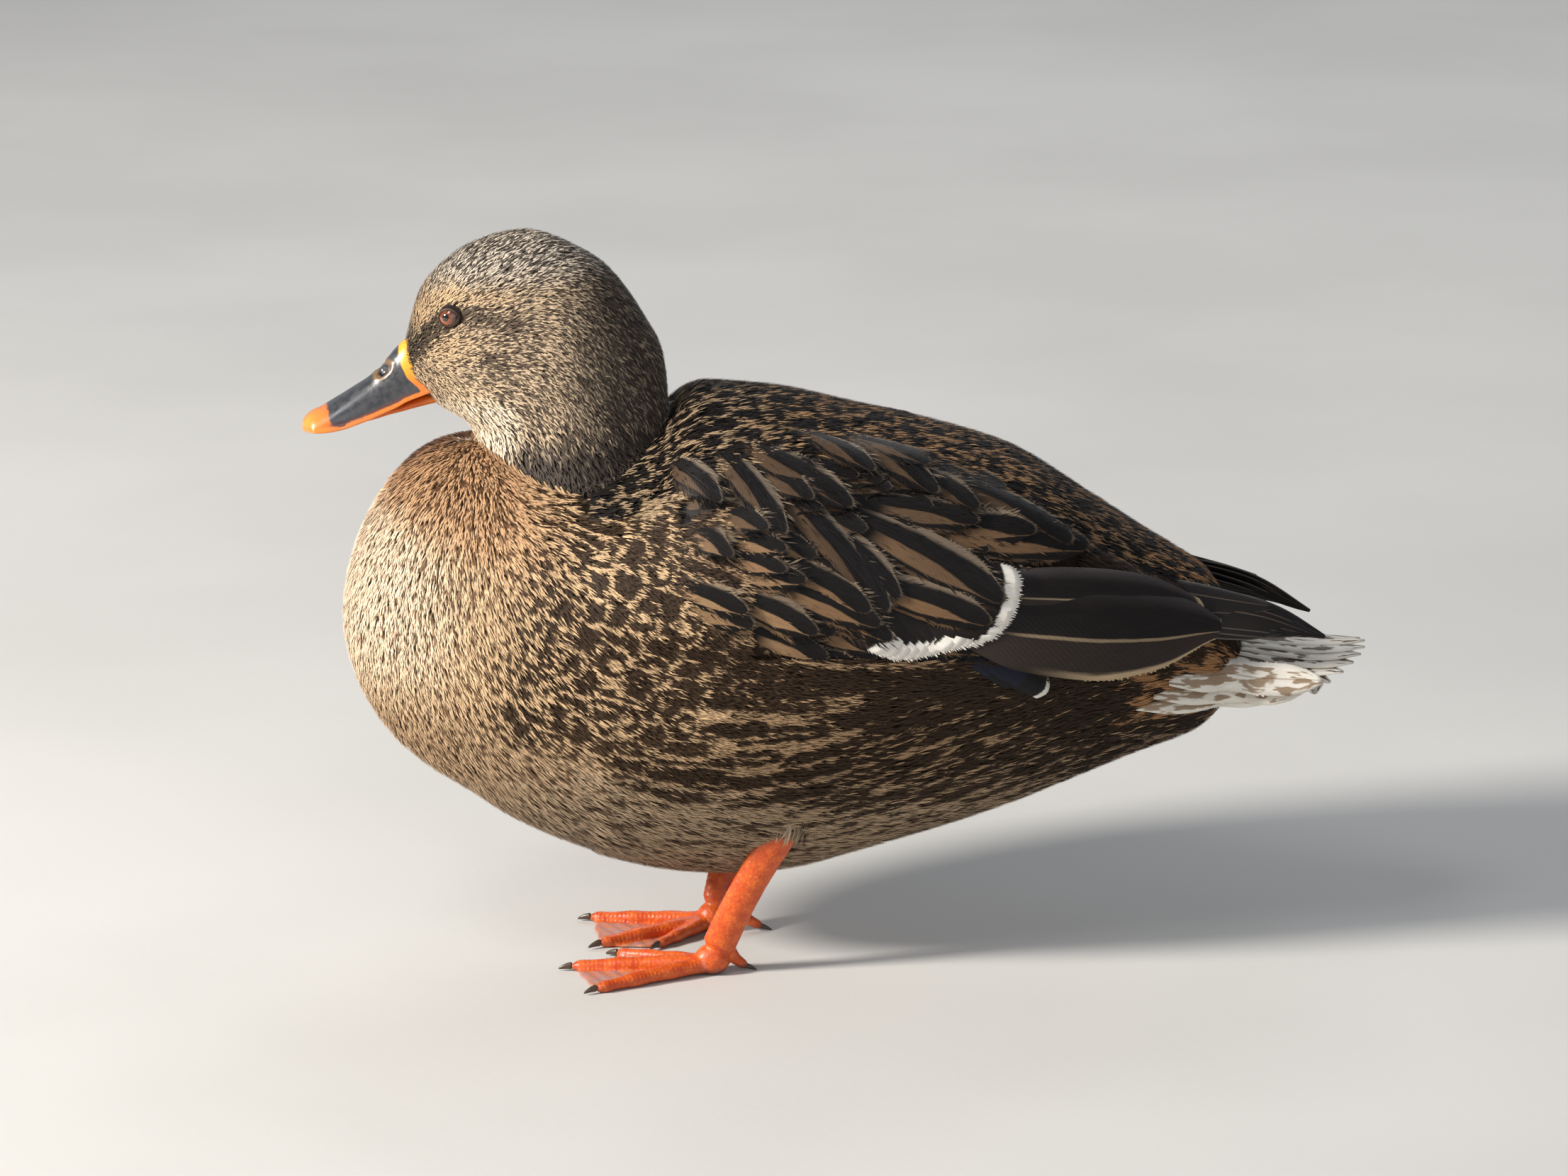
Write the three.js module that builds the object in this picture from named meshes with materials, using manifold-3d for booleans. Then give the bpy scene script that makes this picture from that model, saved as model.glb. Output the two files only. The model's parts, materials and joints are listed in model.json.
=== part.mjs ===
// A life-size standing female mallard (Anas platyrhynchos), neck drawn in.
// Millimetres. The bill points along -X, the tail along +X, +Z is up and the
// duck's left side is at -Y. The soles stand on z = 0 and the origin is under
// the middle of the bounding box.
import * as THREE from 'three';
import { mergeVertices } from 'three/addons/utils/BufferGeometryUtils.js';
import Module from 'manifold-3d';

const wasm = await Module();
wasm.setup();

// ---------------------------------------------------------------- dimensions
const GAP = 0.3;              // clearance between neighbouring pieces
const TRUNK_FRONT = -147.4;   // X of the breast
const TRUNK_REAR = 219;       // X of the tips of the tail coverts
const BREAST_ROUND = 105;     // length over which the breast rounds off
const RUMP_ROUND = 22;        // length over which the coverts round off
const BELLY_NARROW = 0.10;    // how much narrower the belly is than the back
const RUMP_FRONT = 104;       // X where the flesh ends and the rump's feathers begin
// X, height of the widest line, rise above it, drop below it, half width
const TRUNK = [
  [-147.4, 142, 100, 88, 70],
  [-132, 141.5, 100, 86, 70.5],
  [-117, 141, 98, 84, 71],
  [-100, 140, 91, 82, 71],
  [-83, 139.3, 82, 85.6, 72],
  [-60, 138, 75, 89.8, 72.5],
  [-38, 137, 79, 94.8, 73],
  [-22, 136.3, 86, 98, 73.5],
  [-5, 135.6, 98.5, 99.3, 74],
  [20, 134.5, 97.5, 98, 74],
  [56, 133, 91, 88.5, 71],
  [112, 132.5, 76, 71.5, 59],
  [150, 130.6, 54.5, 55, 46.5],
  [168, 129.5, 43.5, 47, 41],
  [185, 128.3, 34, 40, 35.5],
  [195, 127.7, 27.5, 34.5, 32.5],
  [203, 126, 19.5, 29.5, 30.5],
  [219, 123, 14, 24, 27],
];
// Z, X of the face, X of the nape, half width
const HEAD = [
  [186, -86, -22, 40],
  [204.5, -90, -20, 38],
  [216, -94.7, -18.3, 34],
  [223, -99, -18.2, 32.5],
  [229, -110, -18.3, 31],
  [239, -118.5, -18.9, 29.5],
  [250, -122.2, -21.1, 28],
  [261, -120, -27, 25.8],
  [273, -116.5, -34.2, 23],
  [283.7, -108.6, -43, 19.2],
  [291, -98.8, -54.5, 14],
  [295.3, -88, -64, 8.5],
  [297.3, -79, -69, 3],
];
const THROAT = new THREE.Vector3(-97, 0, 220);   // where chin meets neck
const NAPE = new THREE.Vector3(-17, 0, 240);
const EYE = { x: -104.4, z: 265.8, y: 14.6, r: 5.5, socket: 5.85 };
// X, height of the cutting edge, height of the ridge over it, half width
const BILL_UPPER = [
  [-108, 235.5, 20, 10.2],
  [-114, 233.2, 22, 10.4],
  [-121, 230.4, 23.4, 9.9],
  [-125, 228.1, 22, 9.6],
  [-130, 225.8, 18.2, 9.4],
  [-136, 223.2, 15.4, 9.5],
  [-141, 221.4, 14, 9.9],
  [-146, 219.8, 12.4, 10.5],
  [-151, 218.9, 10.2, 10.9],
  [-156, 218.3, 7.8, 10.3],
  [-161.5, 217.8, 5.6, 8.5],
];
// X, underside, thickness, half width
const BILL_LOWER = [
  [-102, 230.7, 5, 8.4],
  [-109, 229.3, 4.8, 8.6],
  [-118, 227.2, 4.2, 8.5],
  [-122.4, 226, 3.6, 8.2],
  [-128, 224.6, 3.2, 7.9],
  [-134, 222.8, 2.9, 7.9],
  [-142, 221.2, 2.4, 8.3],
  [-152, 219.9, 1.9, 8.3],
];
const WING_FRONT = -60, WING_REAR = 188, WING_THICK = 5.2;
const WING_TOP = [[-60, 34], [-30, 50], [-8, 60], [30, 67], [67, 68], [132, 52], [188, 42]];
const WING_LOW = [[-60, 26], [-30, 6], [0, 2], [42, 1], [100, -3], [140, -3], [165, 4], [188, 18]];
// the long leaf-shaped feathers: X, height of the lower and the upper edge
const TERTIAL = [
  [92, 138, 175], [112, 128.5, 172], [130, 124.8, 170], [147, 124.4, 166.6],
  [163, 125.4, 163], [179, 128.6, 156], [192, 133.6, 147.5], [201, 136.8, 139.4],
];
const PRIMARY_TIP = new THREE.Vector3(240.5, 20.5, 131.6);
const TAIL = { front: 178, rear: 259, zFront: 130.5, zRear: 121, arch: 11, thick: 3 };
const TAIL_WIDTH = [[178, 20], [200, 31], [225, 35], [242, 25], [252, 16], [259, 6]];
// the left leg slopes more than the right one: ankle, then the end inside the belly
const ANKLE = { '-1': [-2.5, 27.5, 8], 1: [1.5, 27.5, 8] };
const THIGH = { '-1': [25, 43, 66], 1: [19, 43, 65] };
const LEG_HALF = [[0, 6.6, 4.6], [0.45, 6.2, 4.1], [0.8, 6.3, 4.2], [1, 6.4, 4.4]];
// toe tips: x, distance from the midline, root half thickness
const TOES_LEFT = { 2: [-41, 5, 3.1], 3: [-60, 21, 3.4], 4: [-51.5, 50, 3.2] };
const TOES_RIGHT = { 2: [-24, 4, 3.0], 3: [-47.5, 7, 3.4], 4: [-50, 42, 3.2] };
const HIND_TOE = { '-1': 12, 1: 17.5 };
const CLAW = 4.6;
const WEB = 1.3;

// ----------------------------------------------------------------- materials
const coat = (color) => new THREE.MeshStandardMaterial({ color, roughness: 0.85, metalness: 0 });
const PLUMAGE = coat('#9a7d5c');
const FACE = coat('#a08c6a');
const BACK = coat('#4a3a2c');
const QUILL = coat('#3a332c');
const PALE = coat('#cfc3ac');
const HORN = new THREE.MeshStandardMaterial({ color: '#d9792a', roughness: 0.3, metalness: 0 });
const SKIN = new THREE.MeshStandardMaterial({ color: '#e0541f', roughness: 0.5, metalness: 0 });
const NAIL = new THREE.MeshStandardMaterial({ color: '#2b221c', roughness: 0.4, metalness: 0 });
const IRIS = new THREE.MeshStandardMaterial({ color: '#5a2e1a', roughness: 0.05, metalness: 0 });

// ------------------------------------------------------------------- helpers
// Smooth curve through rows [key, value, ...]; gives the values at a key.
function curve(rows) {
  const n = rows.length;
  const slope = (i, c) => {
    if (i === 0) return (rows[1][c] - rows[0][c]) / (rows[1][0] - rows[0][0]);
    if (i === n - 1) return (rows[n - 1][c] - rows[n - 2][c]) / (rows[n - 1][0] - rows[n - 2][0]);
    const a = (rows[i][c] - rows[i - 1][c]) / (rows[i][0] - rows[i - 1][0]);
    const b = (rows[i + 1][c] - rows[i][c]) / (rows[i + 1][0] - rows[i][0]);
    return a * b <= 0 ? 0 : (2 * a * b) / (a + b);
  };
  const up = rows[n - 1][0] > rows[0][0];
  return (key) => {
    let i = 0;
    while (i < n - 2 && (up ? key > rows[i + 1][0] : key < rows[i + 1][0])) i++;
    const h = rows[i + 1][0] - rows[i][0];
    const s = Math.min(1, Math.max(0, (key - rows[i][0]) / h));
    const s2 = s * s, s3 = s2 * s;
    return rows[0].slice(1).map((_, k) => {
      const c = k + 1;
      return (2 * s3 - 3 * s2 + 1) * rows[i][c] + (s3 - 2 * s2 + s) * h * slope(i, c)
        + (3 * s2 - 2 * s3) * rows[i + 1][c] + (s3 - s2) * h * slope(i + 1, c);
    });
  };
}

const ease = (t) => (1 - Math.cos(Math.PI * t)) / 2;
const cap = (q) => (q >= 1 ? 1 : Math.sqrt(Math.max(0, 1 - (1 - q) * (1 - q))));

// Keep only positions, weld them, and turn the faces outwards.
function weld(geometry) {
  for (const name of Object.keys(geometry.attributes)) {
    if (name !== 'position') geometry.deleteAttribute(name);
  }
  const g = mergeVertices(geometry, 1e-4);
  const p = g.attributes.position, index = Array.from(g.index.array), keep = [];
  const a = new THREE.Vector3(), b = new THREE.Vector3(), c = new THREE.Vector3();
  let volume = 0;
  for (let i = 0; i < index.length; i += 3) {
    const [i0, i1, i2] = index.slice(i, i + 3);
    if (i0 === i1 || i1 === i2 || i2 === i0) continue;
    keep.push(i0, i1, i2);
    a.fromBufferAttribute(p, i0); b.fromBufferAttribute(p, i1); c.fromBufferAttribute(p, i2);
    volume += a.dot(b.cross(c));
  }
  if (volume < 0) for (let i = 0; i < keep.length; i += 3) [keep[i], keep[i + 1]] = [keep[i + 1], keep[i]];
  g.setIndex(keep);
  return g;
}

function toSolid(geometry) {
  const g = weld(geometry);
  return new wasm.Manifold(new wasm.Mesh({
    numProp: 3,
    vertProperties: new Float32Array(g.attributes.position.array),
    triVerts: new Uint32Array(g.index.array),
  }));
}

// The largest connected body of a solid, as a three.js geometry.
function toGeometry(solid) {
  const bodies = solid.decompose().sort((p, q) => q.volume() - p.volume());
  const mesh = bodies[0].getMesh();
  const g = new THREE.BufferGeometry();
  g.setAttribute('position', new THREE.BufferAttribute(new Float32Array(mesh.vertProperties), 3));
  g.setIndex(new THREE.BufferAttribute(new Uint32Array(mesh.triVerts), 1));
  return g;
}

// A closed form: fn(t, angle) places each point, t running from pole to pole.
function form(around, along, fn) {
  const g = new THREE.SphereGeometry(1, around, along);
  const p = g.attributes.position, uv = g.attributes.uv;
  for (let i = 0; i < p.count; i++) {
    const t = 1 - uv.getY(i);
    p.setXYZ(i, ...fn(t, uv.getX(i) * Math.PI * 2));
  }
  return weld(g);
}

// A closed slab: fn(u, v, w) with u, v across it and w through its thickness.
function slab(nu, nv, fn) {
  const g = new THREE.BoxGeometry(1, 1, 1, nu, nv, 1);
  const p = g.attributes.position;
  for (let i = 0; i < p.count; i++) {
    const u = Math.round((p.getX(i) + 0.5) * nu) / nu, v = Math.round((p.getY(i) + 0.5) * nv) / nv;
    p.setXYZ(i, ...fn(u, v, p.getZ(i) > 0 ? 1 : 0));
  }
  return weld(g);
}

function inflated(geometry, by) {
  const g = geometry.clone();
  g.computeVertexNormals();
  const p = g.attributes.position, n = g.attributes.normal;
  for (let i = 0; i < p.count; i++) {
    p.setXYZ(i, p.getX(i) + n.getX(i) * by, p.getY(i) + n.getY(i) * by, p.getZ(i) + n.getZ(i) * by);
  }
  return toSolid(g);
}

function ball(x, y, z, rx, ry, rz, around = 12, along = 8) {
  const g = new THREE.SphereGeometry(1, around, along);
  g.scale(rx, ry, rz);
  g.translate(x, y, z);
  return weld(g);
}

const mirrorY = (geometry) => weld(geometry.clone().scale(1, -1, 1));

// --------------------------------------------------------------------- trunk
const trunkRow = curve(TRUNK);
function trunkPoint(x, angle, out = 0) {
  const [wide, rise, drop, half] = trunkRow(x);
  const r = cap((x - TRUNK_FRONT) / BREAST_ROUND) * cap((TRUNK_REAR - x) / RUMP_ROUND);
  const s = Math.sin(angle), c = Math.cos(angle);
  return [
    x,
    c * (half * (1 + BELLY_NARROW * s) * r + out),
    wide + s * ((s > 0 ? rise : drop) * r + out),
  ];
}
const trunkForm = form(28, 25, (t, a) => trunkPoint(
  TRUNK_FRONT + (TRUNK_REAR - TRUNK_FRONT) * ease(t), a));
const trunkRoom = inflated(trunkForm, GAP + 0.1);
// the flesh in front of RUMP_FRONT, and behind it the feathered rump
const trunkWhole = toSolid(trunkForm.clone());
const behind = (x) => toSolid(new THREE.BoxGeometry(400, 400, 400).translate(x + 200, 0, 140));
const trunk = toGeometry(trunkWhole.subtract(behind(RUMP_FRONT - GAP / 2)));
const rump = toGeometry(trunkWhole.intersect(behind(RUMP_FRONT + GAP / 2)));

// ------------------------------------------------------------- head and neck
const headRow = curve(HEAD);
const HEAD_LOW = HEAD[0][0], HEAD_HIGH = HEAD[HEAD.length - 1][0];
const headForm = form(24, 19, (t, a) => {
  // flat foot inside the breast, then slices up to the crown
  const s = Math.max(0, (t * 19 - 1) / 18);
  const z = HEAD_LOW + (HEAD_HIGH - HEAD_LOW) * Math.sin(s * Math.PI / 2) ** 1.15;
  const [face, nape, half] = headRow(z);
  const r = t === 0 || t === 1 ? 0 : 1;
  return [(face + nape) / 2 + r * Math.cos(a) * (nape - face) / 2, r * half * Math.sin(a), z];
});
const headWhole = toSolid(headForm.clone());
// everything under the slanting line from throat to nape
function under(lift) {
  const g = new THREE.BoxGeometry(260, 200, 120);
  g.translate(0, 0, -60 + lift);
  g.rotateY(-Math.atan2(NAPE.z - THROAT.z, NAPE.x - THROAT.x));
  g.translate((THROAT.x + NAPE.x) / 2, 0, (THROAT.z + NAPE.z) / 2);
  return toSolid(g);
}
const sockets = [-1, 1].map((side) => toSolid(
  ball(EYE.x, side * EYE.y, EYE.z, EYE.socket, EYE.socket, EYE.socket)));
const head = toGeometry(headWhole.subtract(under(GAP / 2)).subtract(trunkRoom)
  .subtract(sockets[0]).subtract(sockets[1]));
const neck = toGeometry(headWhole.intersect(under(-GAP / 2)).subtract(trunkRoom));
const headRoom = inflated(headForm, GAP);

// ---------------------------------------------------------------------- bill
const upperRow = curve(BILL_UPPER), lowerRow = curve(BILL_LOWER);
const billUpperForm = form(16, 13, (t, a) => {
  const x0 = BILL_UPPER[0][0], x1 = BILL_UPPER[BILL_UPPER.length - 1][0];
  const x = x0 + (x1 - x0) * (0.35 * t + 0.65 * ease(t));
  const [edge, high, half] = upperRow(x);
  const r = cap((x - x1) / 4.5) * (t === 0 ? 0 : 1);
  const s = Math.sin(a), c = Math.cos(a);
  const y = Math.sign(c) * Math.abs(c) ** 0.8 * half * r;
  const z = s > 0 ? edge + 1 + (high - 1) * s ** 1.05 * Math.sqrt(r) : edge + 1 + s * r;
  return [x, y, z];
});
const billLowerForm = form(10, 8, (t, a) => {
  const x0 = BILL_LOWER[0][0], x1 = BILL_LOWER[BILL_LOWER.length - 1][0];
  const x = x0 + (x1 - x0) * (0.5 * t + 0.5 * ease(t));
  const [low, thick, half] = lowerRow(x);
  const r = cap((x - x1) / 5) * (t === 0 ? 0 : 1);
  return [x, half * r * Math.cos(a), low + thick / 2 + (thick / 2) * r * Math.sin(a)];
});
const billLower = toGeometry(toSolid(billLowerForm.clone()).subtract(headRoom));
const billUpper = toGeometry(toSolid(billUpperForm).subtract(headRoom)
  .subtract(inflated(billLowerForm, GAP)));

// --------------------------------------------------------------------- wings
const wingTop = curve(WING_TOP), wingLow = curve(WING_LOW);
const rad = Math.PI / 180;
function wingForm() {
  return slab(14, 7, (u, v, w) => {
    const x = WING_FRONT + (WING_REAR - WING_FRONT) * u;
    const top = wingTop(x)[0], low = wingLow(x)[0];
    const angle = (low + (top - low) * v) * rad;
    const body = 1 - Math.abs(2 * v - 1) ** 4;
    const ends = 1 - Math.abs(2 * u - 1) ** 8;
    const out = 1.7 + (WING_THICK - 1.7) * body * ends;
    const p = trunkPoint(x, angle, w > 0.5 ? out : -5);
    return [p[0], Math.abs(p[1]), p[2]];
  });
}
const neckRoom = inflated(neck, GAP);
const wingRight = toGeometry(toSolid(wingForm()).subtract(trunkRoom).subtract(neckRoom));
const wingRoom = inflated(wingForm(), GAP);

// the leaf of long inner feathers over the rump side
const leafRow = curve(TERTIAL);
const leafForm = slab(10, 4, (u, v, w) => {
  const x = TERTIAL[0][0] + (TERTIAL[TERTIAL.length - 1][0] - TERTIAL[0][0]) * u;
  const [low, high] = leafRow(x), [wide, rise, drop] = trunkRow(x);
  const z = low + (high - low) * v;
  const angle = Math.asin(Math.max(-0.95, Math.min(0.95, (z - wide) / (z > wide ? rise : drop))));
  const lift = 1.0 + 4.8 * (1 - u ** 5);
  const thick = 0.9 + 1.7 * Math.sin(Math.PI * Math.min(1, 0.12 + u * 0.9)) ** 0.5;
  const p = trunkPoint(x, angle, w > 0.5 ? lift + thick : lift - 1.4);
  return [p[0], Math.abs(p[1]), p[2]];
});
const tertialsRight = toGeometry(toSolid(leafForm).subtract(wingRoom).subtract(trunkRoom));
const leafRoom = inflated(leafForm, GAP);

// the folded flight feathers, one blade running back beside the tail
const bladePath = new THREE.CatmullRomCurve3([
  new THREE.Vector3(150, 45, 154),
  new THREE.Vector3(180, 36, 147),
  new THREE.Vector3(205, 29.5, 141),
  new THREE.Vector3(226, 25, 137),
  PRIMARY_TIP,
]);
const bladeHalf = curve([[0, 8.5], [0.25, 10.4], [0.5, 10.2], [0.75, 8.2], [0.92, 4], [1, 1.6]]);
const primariesForm = form(10, 12, (t, a) => {
  const p = bladePath.getPoint(t);
  const end = Math.min(1, Math.sqrt(t * 18), Math.sqrt((1 - t) * 40));
  const h = bladeHalf(t)[0] * end, thin = 1.35 * Math.min(1, end);
  const lean = 34 * rad;             // the upper edge leans towards the rump
  const up = h * Math.cos(a), out = thin * Math.sin(a);
  return [p.x, p.y - up * Math.sin(lean) + out * Math.cos(lean), p.z + up * Math.cos(lean) + out * Math.sin(lean)];
});
const primariesRight = toGeometry(toSolid(primariesForm.clone())
  .subtract(trunkRoom).subtract(wingRoom).subtract(leafRoom));

// ---------------------------------------------------------------------- tail
const tailHalf = curve(TAIL_WIDTH);
const tailForm = slab(8, 8, (u, v, w) => {
  const x = TAIL.front + (TAIL.rear - TAIL.front) * (1 - (1 - u) ** 1.4);
  const half = tailHalf(x)[0], across = 2 * v - 1;
  const mid = TAIL.zFront + (TAIL.zRear - TAIL.zFront) * ((x - TAIL.front) / (TAIL.rear - TAIL.front));
  const thick = TAIL.thick * (1 - 0.45 * across * across) * (u > 0.999 ? 0.5 : 1);
  return [x, half * across, mid - TAIL.arch * across * across * (half / 36) + (w - 0.5) * thick];
});
const bladeRoom = inflated(primariesForm, GAP);
const bladeRoomLeft = inflated(mirrorY(primariesForm), GAP);
const leafRoomLeft = inflated(mirrorY(leafForm), GAP);
const tail = toGeometry(toSolid(tailForm).subtract(trunkRoom).subtract(bladeRoom)
  .subtract(bladeRoomLeft).subtract(leafRoom).subtract(leafRoomLeft));

// ------------------------------------------------------------- legs and feet
const legHalf = curve(LEG_HALF);
const floorCut = toSolid(new THREE.BoxGeometry(400, 400, 40).translate(0, 0, -20));

function limb(path, halves, around, along, flatten = 1) {
  return form(around, along, (t, a) => {
    const p = path.getPoint(t);
    const end = Math.min(1, Math.sqrt(t * 14), Math.sqrt((1 - t) * 14));
    const [h] = halves(t);
    const d = path.getTangent(t);
    const side = new THREE.Vector3(-d.y, d.x, 0).normalize();
    const rise = new THREE.Vector3().crossVectors(d, side).normalize();
    if (rise.z < 0) rise.negate();
    return [0, 1, 2].map((k) => p.getComponent(k)
      + side.getComponent(k) * h * end * Math.cos(a)
      + rise.getComponent(k) * h * flatten * end * Math.sin(a));
  });
}

// side is -1 for the left leg and 1 for the right one
function buildLeg(side, toes) {
  const [ax, ay, az] = ANKLE[side], [hx, hy, hz] = THIGH[side];
  const hip = new THREE.Vector3(hx, side * hy, hz);
  const ankle = new THREE.Vector3(ax, side * ay, az);
  const legForm = form(12, 7, (t, a) => {
    const end = Math.min(1, Math.sqrt((1 - t) * 14), t === 0 ? 0 : 1);
    const [deep, wide] = legHalf(t);
    const c = hip.clone().lerp(ankle, t);
    c.x -= 1.6 * Math.sin(Math.PI * t);
    const along = ankle.clone().sub(hip).normalize();
    const fore = new THREE.Vector3(along.z, 0, -along.x).normalize();
    return [
      c.x + fore.x * deep * end * Math.cos(a),
      c.y + wide * end * Math.sin(a),
      c.z + fore.z * deep * end * Math.cos(a),
    ];
  });

  let foot = toSolid(ball(ax - 1, side * ay, 5.6, 7, 5.6, 6.4, 12, 8));
  const roots = {}, tips = {};
  for (const [name, [tx, ty, thick]] of Object.entries(toes)) {
    const tip = new THREE.Vector3(tx, side * ty, 1.7);
    const root = new THREE.Vector3(ax - 2, side * ay, 3.9);
    const middle = root.clone().lerp(tip, 0.5).add(new THREE.Vector3(0, 0, -0.2));
    const path = new THREE.CatmullRomCurve3([root, middle, tip]);
    const halves = curve([[0, thick + 0.9], [0.3, thick], [0.75, thick * 0.82], [1, thick * 0.66]]);
    foot = foot.add(toSolid(limb(path, halves, 8, 8)));
    roots[name] = root; tips[name] = tip;
  }
  for (const [p, q] of [['2', '3'], ['3', '4']]) {
    const at = (name, s) => roots[name].clone().lerp(tips[name], s);
    const edge = at(p, 1).add(at(q, 1)).multiplyScalar(0.5);
    const shape = new THREE.Shape();
    shape.moveTo(roots[p].x, roots[p].y);
    shape.lineTo(at(p, 0.95).x, at(p, 0.95).y);
    shape.quadraticCurveTo(edge.x, edge.y, at(q, 0.95).x, at(q, 0.95).y);
    shape.closePath();
    foot = foot.add(toSolid(new THREE.ExtrudeGeometry(shape,
      { depth: WEB, bevelEnabled: false, curveSegments: 4 })));
  }
  foot = foot.subtract(floorCut);
  const footGeometry = toGeometry(foot);
  const footRoom = inflated(footGeometry, GAP);

  // the short hind toe, set above the others with its tip on the ground
  const reach = HIND_TOE[side];
  const back = new THREE.CatmullRomCurve3([
    new THREE.Vector3(ax + 4, side * (ay - 1), 13),
    new THREE.Vector3(ax + 0.66 * reach, side * (ay - 2), 5.6),
    new THREE.Vector3(ax + reach + 1, side * (ay - 2.5), 0),
  ]);
  const hallux = limb(back, curve([[0, 3.0], [0.5, 2.7], [1, 1.9]]), 8, 6);
  const legSolid = toSolid(legForm.clone()).subtract(trunkRoom).subtract(footRoom);
  const halluxSolid = toSolid(hallux.clone()).subtract(inflated(legForm, GAP))
    .subtract(footRoom).subtract(floorCut);

  const claws = {};
  for (const name of Object.keys(toes)) {
    const dir = tips[name].clone().sub(roots[name]).setZ(0).normalize();
    const g = form(6, 4, (t, a) => {
      const r = 1.55 * Math.sqrt(Math.max(0, 1 - t)) * (t === 0 ? 0 : 1);
      const c = tips[name].clone().addScaledVector(dir, -1.2 + (CLAW + 1.2) * t);
      return [c.x - dir.y * r * 0.8 * Math.cos(a), c.y + dir.x * r * 0.8 * Math.cos(a),
        Math.max(0.25, 2.3 + r * Math.sin(a) - 1.7 * t * t)];
    });
    claws[name] = toGeometry(toSolid(g).subtract(footRoom));
  }
  const hindDir = new THREE.Vector3(0.8, 0, -0.12).normalize();
  const hindClaw = form(6, 4, (t, a) => {
    const r = 1.45 * Math.sqrt(Math.max(0, 1 - t)) * (t === 0 ? 0 : 1);
    const c = new THREE.Vector3(ax + reach - 0.5, side * (ay - 2.5), 2.3).addScaledVector(hindDir, 5.6 * t);
    return [c.x, c.y + r * 0.8 * Math.cos(a), Math.max(0.25, c.z + r * Math.sin(a) - 0.6 * t * t)];
  });
  claws[1] = toGeometry(toSolid(hindClaw).subtract(inflated(hallux, GAP)).subtract(inflated(legForm, GAP)));
  return { leg: toGeometry(legSolid), foot: footGeometry, hallux: toGeometry(halluxSolid), claws };
}

// ------------------------------------------------------------------ assembly
const duck = new THREE.Group();
function add(name, geometry, material) {
  const mesh = new THREE.Mesh(geometry, material.clone());
  mesh.name = name;
  duck.add(mesh);
  return mesh;
}

add('trunk', trunk, PLUMAGE);
add('rump', rump, PLUMAGE);
add('neck', neck, FACE);
add('head', head, FACE);
add('bill_upper', billUpper, HORN);
add('bill_lower', billLower, HORN);
for (const [label, side] of [['left', -1], ['right', 1]]) {
  add(`eye_${label}`, ball(EYE.x, side * EYE.y, EYE.z, EYE.r, EYE.r, EYE.r), IRIS);
  const turn = side > 0 ? (g) => g : mirrorY;
  add(`wing_${label}`, turn(wingRight), BACK);
  add(`tertials_${label}`, turn(tertialsRight), QUILL);
  add(`primaries_${label}`, turn(primariesRight), QUILL);
  const limbs = buildLeg(side, side < 0 ? TOES_LEFT : TOES_RIGHT);
  add(`leg_${label}`, limbs.leg, SKIN);
  add(`foot_${label}`, limbs.foot, SKIN);
  add(`hallux_${label}`, limbs.hallux, SKIN);
  for (const [toe, geometry] of Object.entries(limbs.claws)) add(`claw_${label}_${toe}`, geometry, NAIL);
}
add('tail', tail, PALE);

// origin under the middle of the whole bird
const box = new THREE.Box3().setFromObject(duck);
duck.position.set(-(box.min.x + box.max.x) / 2, -(box.min.y + box.max.y) / 2, -box.min.z);

export default duck;
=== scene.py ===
"""Looks of a life-size standing female mallard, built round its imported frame.

Lengths are worked out in millimetres in the bird's own coordinates: the bill
points along -X, the left side is -Y, the soles are at z = 0. row() turns them
into metres in the frame.
"""
import json
import math
import bpy
import numpy as np
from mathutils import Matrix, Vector
from mathutils.bvhtree import BVHTree

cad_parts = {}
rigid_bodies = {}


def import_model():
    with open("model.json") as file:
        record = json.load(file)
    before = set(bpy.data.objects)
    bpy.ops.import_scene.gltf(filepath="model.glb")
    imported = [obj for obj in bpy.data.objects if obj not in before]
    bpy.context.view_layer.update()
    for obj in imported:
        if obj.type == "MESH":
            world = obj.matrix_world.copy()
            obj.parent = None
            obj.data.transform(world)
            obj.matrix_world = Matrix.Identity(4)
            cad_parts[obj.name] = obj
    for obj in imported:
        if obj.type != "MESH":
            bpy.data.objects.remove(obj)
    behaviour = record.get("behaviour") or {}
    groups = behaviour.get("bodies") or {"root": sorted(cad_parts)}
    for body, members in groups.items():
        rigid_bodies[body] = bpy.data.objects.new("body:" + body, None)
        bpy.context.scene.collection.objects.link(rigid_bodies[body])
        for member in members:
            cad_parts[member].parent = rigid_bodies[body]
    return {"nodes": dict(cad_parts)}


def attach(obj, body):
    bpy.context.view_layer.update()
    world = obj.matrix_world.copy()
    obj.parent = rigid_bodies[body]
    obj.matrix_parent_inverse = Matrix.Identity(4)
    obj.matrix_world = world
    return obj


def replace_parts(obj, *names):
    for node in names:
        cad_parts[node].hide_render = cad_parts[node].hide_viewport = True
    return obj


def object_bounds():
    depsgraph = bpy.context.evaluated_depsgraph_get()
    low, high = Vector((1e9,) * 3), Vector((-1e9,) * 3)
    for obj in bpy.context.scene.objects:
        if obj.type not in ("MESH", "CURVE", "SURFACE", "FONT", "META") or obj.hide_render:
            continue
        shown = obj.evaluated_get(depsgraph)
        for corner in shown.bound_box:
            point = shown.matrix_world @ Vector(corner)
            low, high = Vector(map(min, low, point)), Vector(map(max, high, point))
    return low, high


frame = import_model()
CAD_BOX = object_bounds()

rng = np.random.default_rng(41)
OX = CAD_BOX[0].x * 1000 + 161.5          # bill tip is at x = -161.5


def row(p):
    p = np.asarray(p, float)
    return (p + np.array([OX, 0, 0])) * 0.001


def srgb(r, g, b):
    c = np.array([r, g, b], float) / 255
    return np.where(c <= 0.04045, c / 12.92, ((c + 0.055) / 1.055) ** 2.4)


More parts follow.
